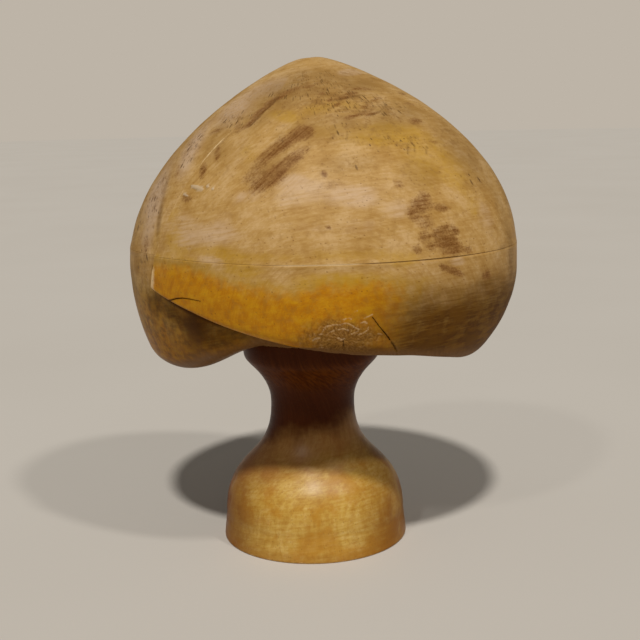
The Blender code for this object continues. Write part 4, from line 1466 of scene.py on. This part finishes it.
def aged(wood, painted, point, figure, strokes, mottle):
    """The varnish, with dirt and painted shade over it, painted shade on the lobe under the flap, and a painted
    shadow below the flap's edge. Gives back the varnish too.
    """
    clot, cloudy = noise_at(point, 210.0, 5.0, 0.65), noise_at(point, 75.0, 5.0, 0.6)
    stain = use_group(RAGGED_STAIN, point, Mask=painted["glow"], Size=0.0055, Ragged=0.22, Softness=0.48)
    varnish = stain["Stain"]
    # Dirt and painted shade: the dark mark, drawn in grime brown, and in the lobe's own browns where the lobe
    # lies in painted shade under the flap.
    dirt_and_shade = painted["dark"] * cloudy.step(0.38, 0.60, 0.84, 1.10) * strokes.step(0.40, 0.60, 1.04, 0.86)
    lobe = blend(cloudy.step(0.40, 0.64), "lobe deep", "lobe light")
    brown = layered("grime", (cloudy.step(0.46, 0.62, 0.0, 0.45), "dry grime"), (painted["lobe"] * 0.85, lobe))
    grimy = (painted["crown darkening"] * 0.50 + 0.14) * (1.0 - painted["dark"])
    wood = layered(
        wood,
        (varnish * 0.97, honey_varnish(figure, strokes, mottle, clot, varnish)),
        (calc("MINIMUM", dirt_and_shade, 0.97), brown),
        # The lobe under the flap, in painted shade, gets darker clots as well.
        (painted["lobe"] * clot.step(0.40, 0.68, 0.20, 0.68), "lobe clot"),
        (painted["tucked"] * clot.step(0.36, 0.64, 0.94, 0.72), "tucked shadow"),
        (grimy * clot.step(0.52, 0.66), "film speck"))
    return wood, varnish


def stained(wood, painted, point, strokes):
    """Brown blotches with a paler halo, and a spatter of specks round them."""
    mask = painted["stain"] * 0.86
    blotch, spatter = (
        use_group(RAGGED_STAIN, point, Mask=mask, Size=size, Ragged=ragged, Softness=softness)["Stain"]
        for size, ragged, softness in ((0.0030, 0.75, 0.50), (0.0010, 0.95, 0.45)))
    soaked_in = (spatter * 0.50 + blotch * 0.42) * strokes.step(0.40, 0.58, 1.0, 0.58)
    halo = mask.step(0.0, 0.75) * strokes.step(0.38, 0.58, 0.66, 0.34)
    return layered(wood, (halo, "halo"), (soaked_in, "stain"))


print("varnish, dirt and stains can be laid over it")

# %% The torn patch, bare arrises with the fold's painted highlight, pin pricks, cracks and glue
def pricks_at(point, density, spacing, slimness):
    """The holes of one layer of pin pricks."""
    return use_group(PIN_PRICKS, point, Density=density, Spacing=spacing, Slimness=slimness)["Holes"]


def damaged(wood, painted, point, centred, figure):
    """The marks that broke through the surface, and the heights that they leave."""
    torn, pins, fibres = painted["torn"], painted["pins"], figure["Fibres"]
    fray, cloudy = noise_at(point, 620.0, 3.0, 0.6), noise_at(point, 150.0, 4.0, 0.65)
    tone = fray * 0.25 + fibres * 0.75
    torn_wood = ramp(tone, (0.38, "torn deep"), (0.52, "torn middle"), (0.66, "torn light"))
    x, _, z = parts(centred)
    curl = joined(reach_of(x, z) * 520.0, calc("ARCTAN2", x, z) * 7.0)
    hollows = noise_at(curl, 1.0, distortion=0.3)
    from_splinter = painted["splinter"] * (1000 * CRACK_REACH) + (fray * 1.1 - 0.55)
    splinters = from_splinter.step(-0.05, 0.45, 1.0, 0.0) * fibres.step(0.40, 0.56, 0.25, 0.75)
    # Pale rubbed arrises, with the painted highlight along the fold's edge.
    worn_and_highlight = use_group(RAGGED_STAIN, point, Mask=painted["bare"], Size=0.003, Ragged=0.28, Softness=0.35)["Stain"]
    holes = pricks_at(point, pins * 0.78 + 0.004, 0.0035, 0.28)
    holes = calc("MAXIMUM", holes, pricks_at(point, pins * 0.80, 0.0023, 0.42) * 0.9)
    from_crack = painted["crack"] * (1000 * CRACK_REACH)
    cleft = from_crack.step(-0.25, 0.22, 1.0, 0.0)
    wood = layered(
        wood,
        (torn * 0.84, torn_wood),
        (torn * hollows.step(0.36, 0.50, 0.50, 0.0), "torn hollow"),
        (torn * hollows.step(0.56, 0.66, 0.0, 0.35), "torn crest"),
        (splinters, "splinter"),
        (painted["gouge"] * fray.step(0.35, 0.62, 0.95, 0.35), "gouge"),
        (worn_and_highlight * 0.85, "bare wood"),
        (pins * cloudy.step(0.46, 0.62, 0.0, 0.55), "grubby"),
        (holes * 0.86, "pin hole"),
        (pricks_at(point, pins * 0.35 + 0.14, 0.0021, 0.9) * 0.52, "stain"),
        (pricks_at(point, painted["ash"] * 0.55, 0.0056, 0.9) * 0.45, "ashen prick"),
        (from_crack.step(0.0, 1.0, 0.22, 0.0), "grime"),
        (cleft * 0.85, "cleft"),
        (painted["glue"] * 0.65, "old glue"))
    return wood, holes, cleft, splinters * 0.5 + torn * (hollows * 1.2 + fray * 0.3)


print("torn, rubbed, pricked and cracked wood can be laid on top")

# %% The head's material
SLANT_ANGLE = math.radians(36)


def glue_line(wood, painted, point, fibres):
    """The line where the blocks meet, pale or filled with dirt, and painted shade on the faces that point down
    near the underside.
    """
    from_line = calc("ABSOLUTE", parts(point)[2] - SEAM_HEIGHT)
    line, tone = from_line.step(0.00018, 0.0005, 1.0, 0.0), painted["seam"]
    return layered(
        wood,
        (line * calc("MAXIMUM", tone, 0.0), "pale seam"),
        (line * calc("MAXIMUM", tone * -1.0, 0.05), "grime"),
        (painted["under"], blend(fibres, "under deep", "under light")))


def head_wood(name, heart, ring_width, ring_share):
    """The wood of one block, cut with its heart at a place and with rings of a width."""
    material, point = new_material(name, Coat_Roughness=0.22, Coat_IOR=1.5, Specular_IOR_Level=0.08)
    painted = {mark: node(point.tree, "Attribute", {}, attribute_name=mark)["Fac"] for mark in MARKS}
    centred = moved(point, Location=(-heart[0], 0.0, -heart[1]))
    figure = use_group(WOOD_FIGURE, centred, Ring_Width=ring_width, Waver=0.009)
    level = use_group(SCUFFS, point, Width=0.0014, Length=0.016)
    slanted = use_group(SCUFFS, moved(point, Rotation=(0.0, SLANT_ANGLE, 0.0)), Width=0.0015, Length=0.022)
    strokes = (slanted["Strokes"] - level["Strokes"]) * painted["slant"] + level["Strokes"]
    mottle, fibres = level["Mottle"], figure["Fibres"]

    wood = bare_figure(point, figure, strokes, mottle, ring_share)
    wood = weathered(wood, painted, point, strokes, mottle)
    wood, varnish = aged(wood, painted, point, figure, strokes, mottle)
    wood = stained(wood, painted, point, strokes)
    wood, holes, cleft, fray = damaged(wood, painted, point, centred, figure)
    wood = glue_line(wood, painted, point, fibres)

    dull = strokes * 0.30 + 0.30 - varnish * 0.10 + painted["torn"] * 0.32 + painted["dark"] * 0.25
    dull = dull - painted["glue"] * 0.40 + painted["bare"] * 0.12
    coat = calc("MAXIMUM", varnish * 0.04 + 0.02, painted["glue"])
    coat = coat * (1.0 - painted["torn"]) * (1.0 - painted["dark"])
    relief = fibres * 0.18 + mottle * 0.35 + fray * 0.8 - cleft * 1.2 - holes
    return finish_material(material, Base_Color=wood, Roughness=calc("MAXIMUM", dull, 0.12), Coat_Weight=coat,
                           Normal=bump(relief, 0.55, 0.00022))


crown_block.data.materials.append(head_wood("crown_wood", (0.026, LEVEL + 0.019), 0.0046, 0.10))
base_block.data.materials.append(head_wood("base_wood", (0.029, LEVEL + 0.0242), 0.0034, 0.34))
print("crown_wood has", len(bpy.data.materials["crown_wood"].node_tree.nodes), "nodes")

# %% [markdown]
# ## The stand's wood and the peg's
#
# The stand was turned with its grain upright. Its foot has kept a mottled honey varnish, and its neck is nearly
# black: partly from hands and from the dirt that gathers there, and partly painted shade below the head, with a
# band of lighter painted shade on the shoulder. The change between them is a matter of height, tilted and
# broken up by noise, so it needs no painted attribute. The foot's sides are painted darker, as shade. The peg
# is bare dowel, a little burnished, and dirty from the holes that it sits in.

# %% The stand's material
def stand_wood():
    """Upright grain under honey varnish, with a dark neck."""
    material, point = new_material("stand_wood", Coat_Roughness=0.38, Coat_IOR=1.5, Specular_IOR_Level=0.06)
    upright = moved(point, Location=(0.012, -0.018, 0.0), Rotation=(math.radians(88), 0.0, math.radians(14)))
    figure = use_group(WOOD_FIGURE, upright, Ring_Width=0.0034, Waver=0.006)
    wiped = use_group(SCUFFS, point, Width=0.0016, Length=0.012)
    fibres, mottle, strokes = figure["Fibres"], wiped["Mottle"], wiped["Strokes"]
    patch = noise_at(point, 55.0, 4.0, 0.55)
    x, _, height = parts(point)
    # Painted shade: the foot darker towards its left and right sides.
    side_shade = calc("MAXIMUM", x.step(-0.056, -0.020, 1.0, 0.0), x.step(0.022, 0.054, 0.0, 0.70))
    # The near-black neck and the brown band on the shoulder below it: partly stain from hands and dirt, partly
    # painted shade where the head's shadow falls. Their edge is tilted as that shadow's edge is.
    level = (patch - 0.5) * 0.022 + height - x * 0.22
    neck = level.step(0.060, 0.080)
    flare = height.step(0.094, 0.106) * height.step(0.112, 0.122, 1.0, 0.0)
    specks = pricks_at(point, 0.22, 0.0021, 0.7)
    low_edge = height.step(0.0, 0.0022, 0.55, 0.0)
    rubbed = use_group(RAGGED_STAIN, point, Mask=low_edge, Size=0.005, Ragged=0.5, Softness=0.25)["Stain"]

    tone = fibres * 0.25 + figure["Clouds"] * 0.40 + strokes * 0.35
    wood = layered(
        ramp(tone, (0.38, "foot deep"), (0.50, "foot middle"), (0.62, "foot light")),
        (patch.step(0.48, 0.60, 0.0, 0.60), "foot patch"),
        (mottle.step(0.48, 0.64, 0.0, 0.32), "foot mottle"),
        (figure["Rings"] * 0.15, "foot ring"),
        (side_shade * patch.step(0.36, 0.60, 0.75, 1.0), "foot side"),
        (level.step(0.038, 0.062) * 0.70, blend(fibres, "brown deep", "brown light")),
        (neck * 0.965, blend(fibres, "neck deep", "neck light")),
        (flare * fibres.step(0.42, 0.58, 0.02, 0.34), "flare"),
        ((patch * 0.01 + height).step(0.006, 0.014, 0.45, 0.0), "foot edge"),
        (specks * 0.35, "foot speck"),
        (rubbed * 0.5, "rubbed foot"))
    polish = calc("MAXIMUM", patch * 0.30 + 0.30 - neck * 0.5, 0.0) * (1.0 - side_shade)
    relief = fibres * 0.2 + mottle * 0.5 - specks * 0.8
    return finish_material(material, Base_Color=wood, Roughness=strokes * 0.30 + 0.22, Coat_Weight=polish,
                           Normal=bump(relief, 0.4, 0.0002))


stand.data.materials.append(stand_wood())
print("stand_wood has", len(bpy.data.materials["stand_wood"].node_tree.nodes), "nodes")

# %% The peg's material
def peg_wood():
    """Straight pale grain, with a dark ring where the peg leaves the stand."""
    material, point = new_material("peg_wood", Specular_IOR_Level=0.35)
    upright = moved(point, Location=(0.02, 0.0, 0.03), Rotation=(math.radians(90), 0.0, 0.0))
    figure = use_group(WOOD_FIGURE, upright, Ring_Width=0.0026, Waver=0.003)
    fibres = figure["Fibres"]
    from_collar = calc("ABSOLUTE", parts(point)[2] - STAND_HEIGHT)
    wood = layered(
        ramp(fibres, (0.36, "peg deep"), (0.62, "peg light")),
        (figure["Rings"] * 0.5, "peg ring"),
        (noise_at(point, 90.0, 4.0, 0.6).step(0.5, 0.68, 0.0, 0.5), "peg smudge"),
        (from_collar.step(0.0, 0.004, 0.45, 0.0), "peg collar"))
    return finish_material(material, Base_Color=wood, Roughness=fibres * 0.2 + 0.42,
                           Normal=bump(fibres * 0.6 + figure["Rays"], 0.5, 0.0002))


peg.data.materials.append(peg_wood())
print("peg_wood has", len(bpy.data.materials["peg_wood"].node_tree.nodes), "nodes")

# %% [markdown]
# ## A plain place to look at it
#
# The floor is pale and matt, so that it takes a soft shadow. The main lamp stands high in front,
# so the head shades the neck of the stand, as it does on a bench under a ceiling lamp. A weaker
# one on the right and a weak one on the left round the form off, and a dim world fills in the
# rest. They are sun lamps, so the floor is lit evenly as far as it goes, and each has a disc four
# degrees wide, which softens its shadows.

# %% The floor
def stage_floor():
    """A wide pale floor, matt, with the faintest unevenness."""
    shape = bmesh.new()
    bmesh.ops.create_circle(shape, cap_ends=True, segments=96, radius=9.0)
    mesh = bpy.data.meshes.new("pale_floor")
    shape.to_mesh(mesh)
    shape.free()
    floor = bpy.data.objects.new("pale_floor", mesh)
    bpy.context.scene.collection.objects.link(floor)
    material, point = new_material("floor_paint", Roughness=0.75, Specular_IOR_Level=0.2)
    paint = blend(noise_at(point, 3.0), "floor deep", "floor light")
    mesh.materials.append(finish_material(material, Base_Color=paint))
    floor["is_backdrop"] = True
    return floor


print("floor", round(stage_floor().dimensions.x), "m wide")

# %% The lamps and the world
SUN_DISC, FILL_STRENGTH = 4, 0.12


def soft_sun(name, compass, height, power):
    """A sun lamp: degrees to the right of the front, degrees up, and its power."""
    light = bpy.data.lights.new(name, "SUN")
    light.energy, light.angle = power, math.radians(SUN_DISC)
    lamp = bpy.data.objects.new(name, light)
    bpy.context.scene.collection.objects.link(lamp)
    side, lift = math.radians(compass), math.radians(height)
    toward = Vector((math.sin(side) * math.cos(lift), -math.cos(side) * math.cos(lift), math.sin(lift)))
    facing = (-toward).to_track_quat("-Z", "Y").to_matrix().to_4x4()
    lamp.matrix_world = Matrix.Translation(2 * toward) @ facing


for lamp_settings in (("high_lamp", 4, 57, 2.15), ("right_lamp", 50, 50, 0.72), ("left_lamp", -24, 43, 0.26)):
    soft_sun(*lamp_settings)
world = bpy.data.worlds.new("pale_room")
bpy.context.scene.world = world
world.use_nodes = True
room = world.node_tree
shown = node(room, "LightPath", {})["Is Camera Ray"]
sky = room.nodes["Background"].inputs
room.links.new(blend(shown, "room light", "backdrop").socket, sky["Color"])
room.links.new((shown * (1.0 - FILL_STRENGTH) + FILL_STRENGTH).socket, sky["Strength"])
bpy.context.scene.view_settings.view_transform = "Standard"
print("three lamps, and a world that fills in at", FILL_STRENGTH, "of its full strength")

# %% [markdown]
# ## The camera
#
# The photograph was taken from a little right of centre and above, from about three quarters of
# a metre. The lens and the small roll below were fitted to the outline of the block and its foot.

# %% The camera at the photograph's angle
CAMERA_PLACE = Vector((0.0802, -0.685, 0.2691))
YAW, PITCH, ROLL, LENS = math.radians(6.1998), math.radians(10.922), math.radians(-1.2726), 63.853

ahead = Vector((-math.sin(YAW) * math.cos(PITCH), math.cos(YAW) * math.cos(PITCH), -math.sin(PITCH)))
level_right = Vector((math.cos(YAW), math.sin(YAW), 0.0))
level_up = level_right.cross(ahead)
right = math.cos(ROLL) * level_right + math.sin(ROLL) * level_up
up = math.cos(ROLL) * level_up - math.sin(ROLL) * level_right
camera_data = bpy.data.cameras.new("camera")
camera_data.lens, camera_data.sensor_width = LENS, 36.0
camera = bpy.data.objects.new("camera", camera_data)
bpy.context.scene.collection.objects.link(camera)
turn_matrix = Matrix((right, up, -ahead)).transposed()
camera.matrix_world = Matrix.Translation(CAMERA_PLACE) @ turn_matrix.to_4x4()
bpy.context.scene.camera = camera
print("camera", [round(1000 * c) for c in CAMERA_PLACE], "mm, lens", LENS, "mm")

# %% [markdown]
# ## Measure and finish
#
# The finished look must be the size of the imported model, so both boxes are measured, and the largest
# difference between them is printed.

# %% Compare both boxes
look_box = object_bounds()
apart = max(abs(a - b) for cad, look in zip(cad_box, look_box) for a, b in zip(cad, look))
print("largest difference, mm:", round(1000 * apart, 2))
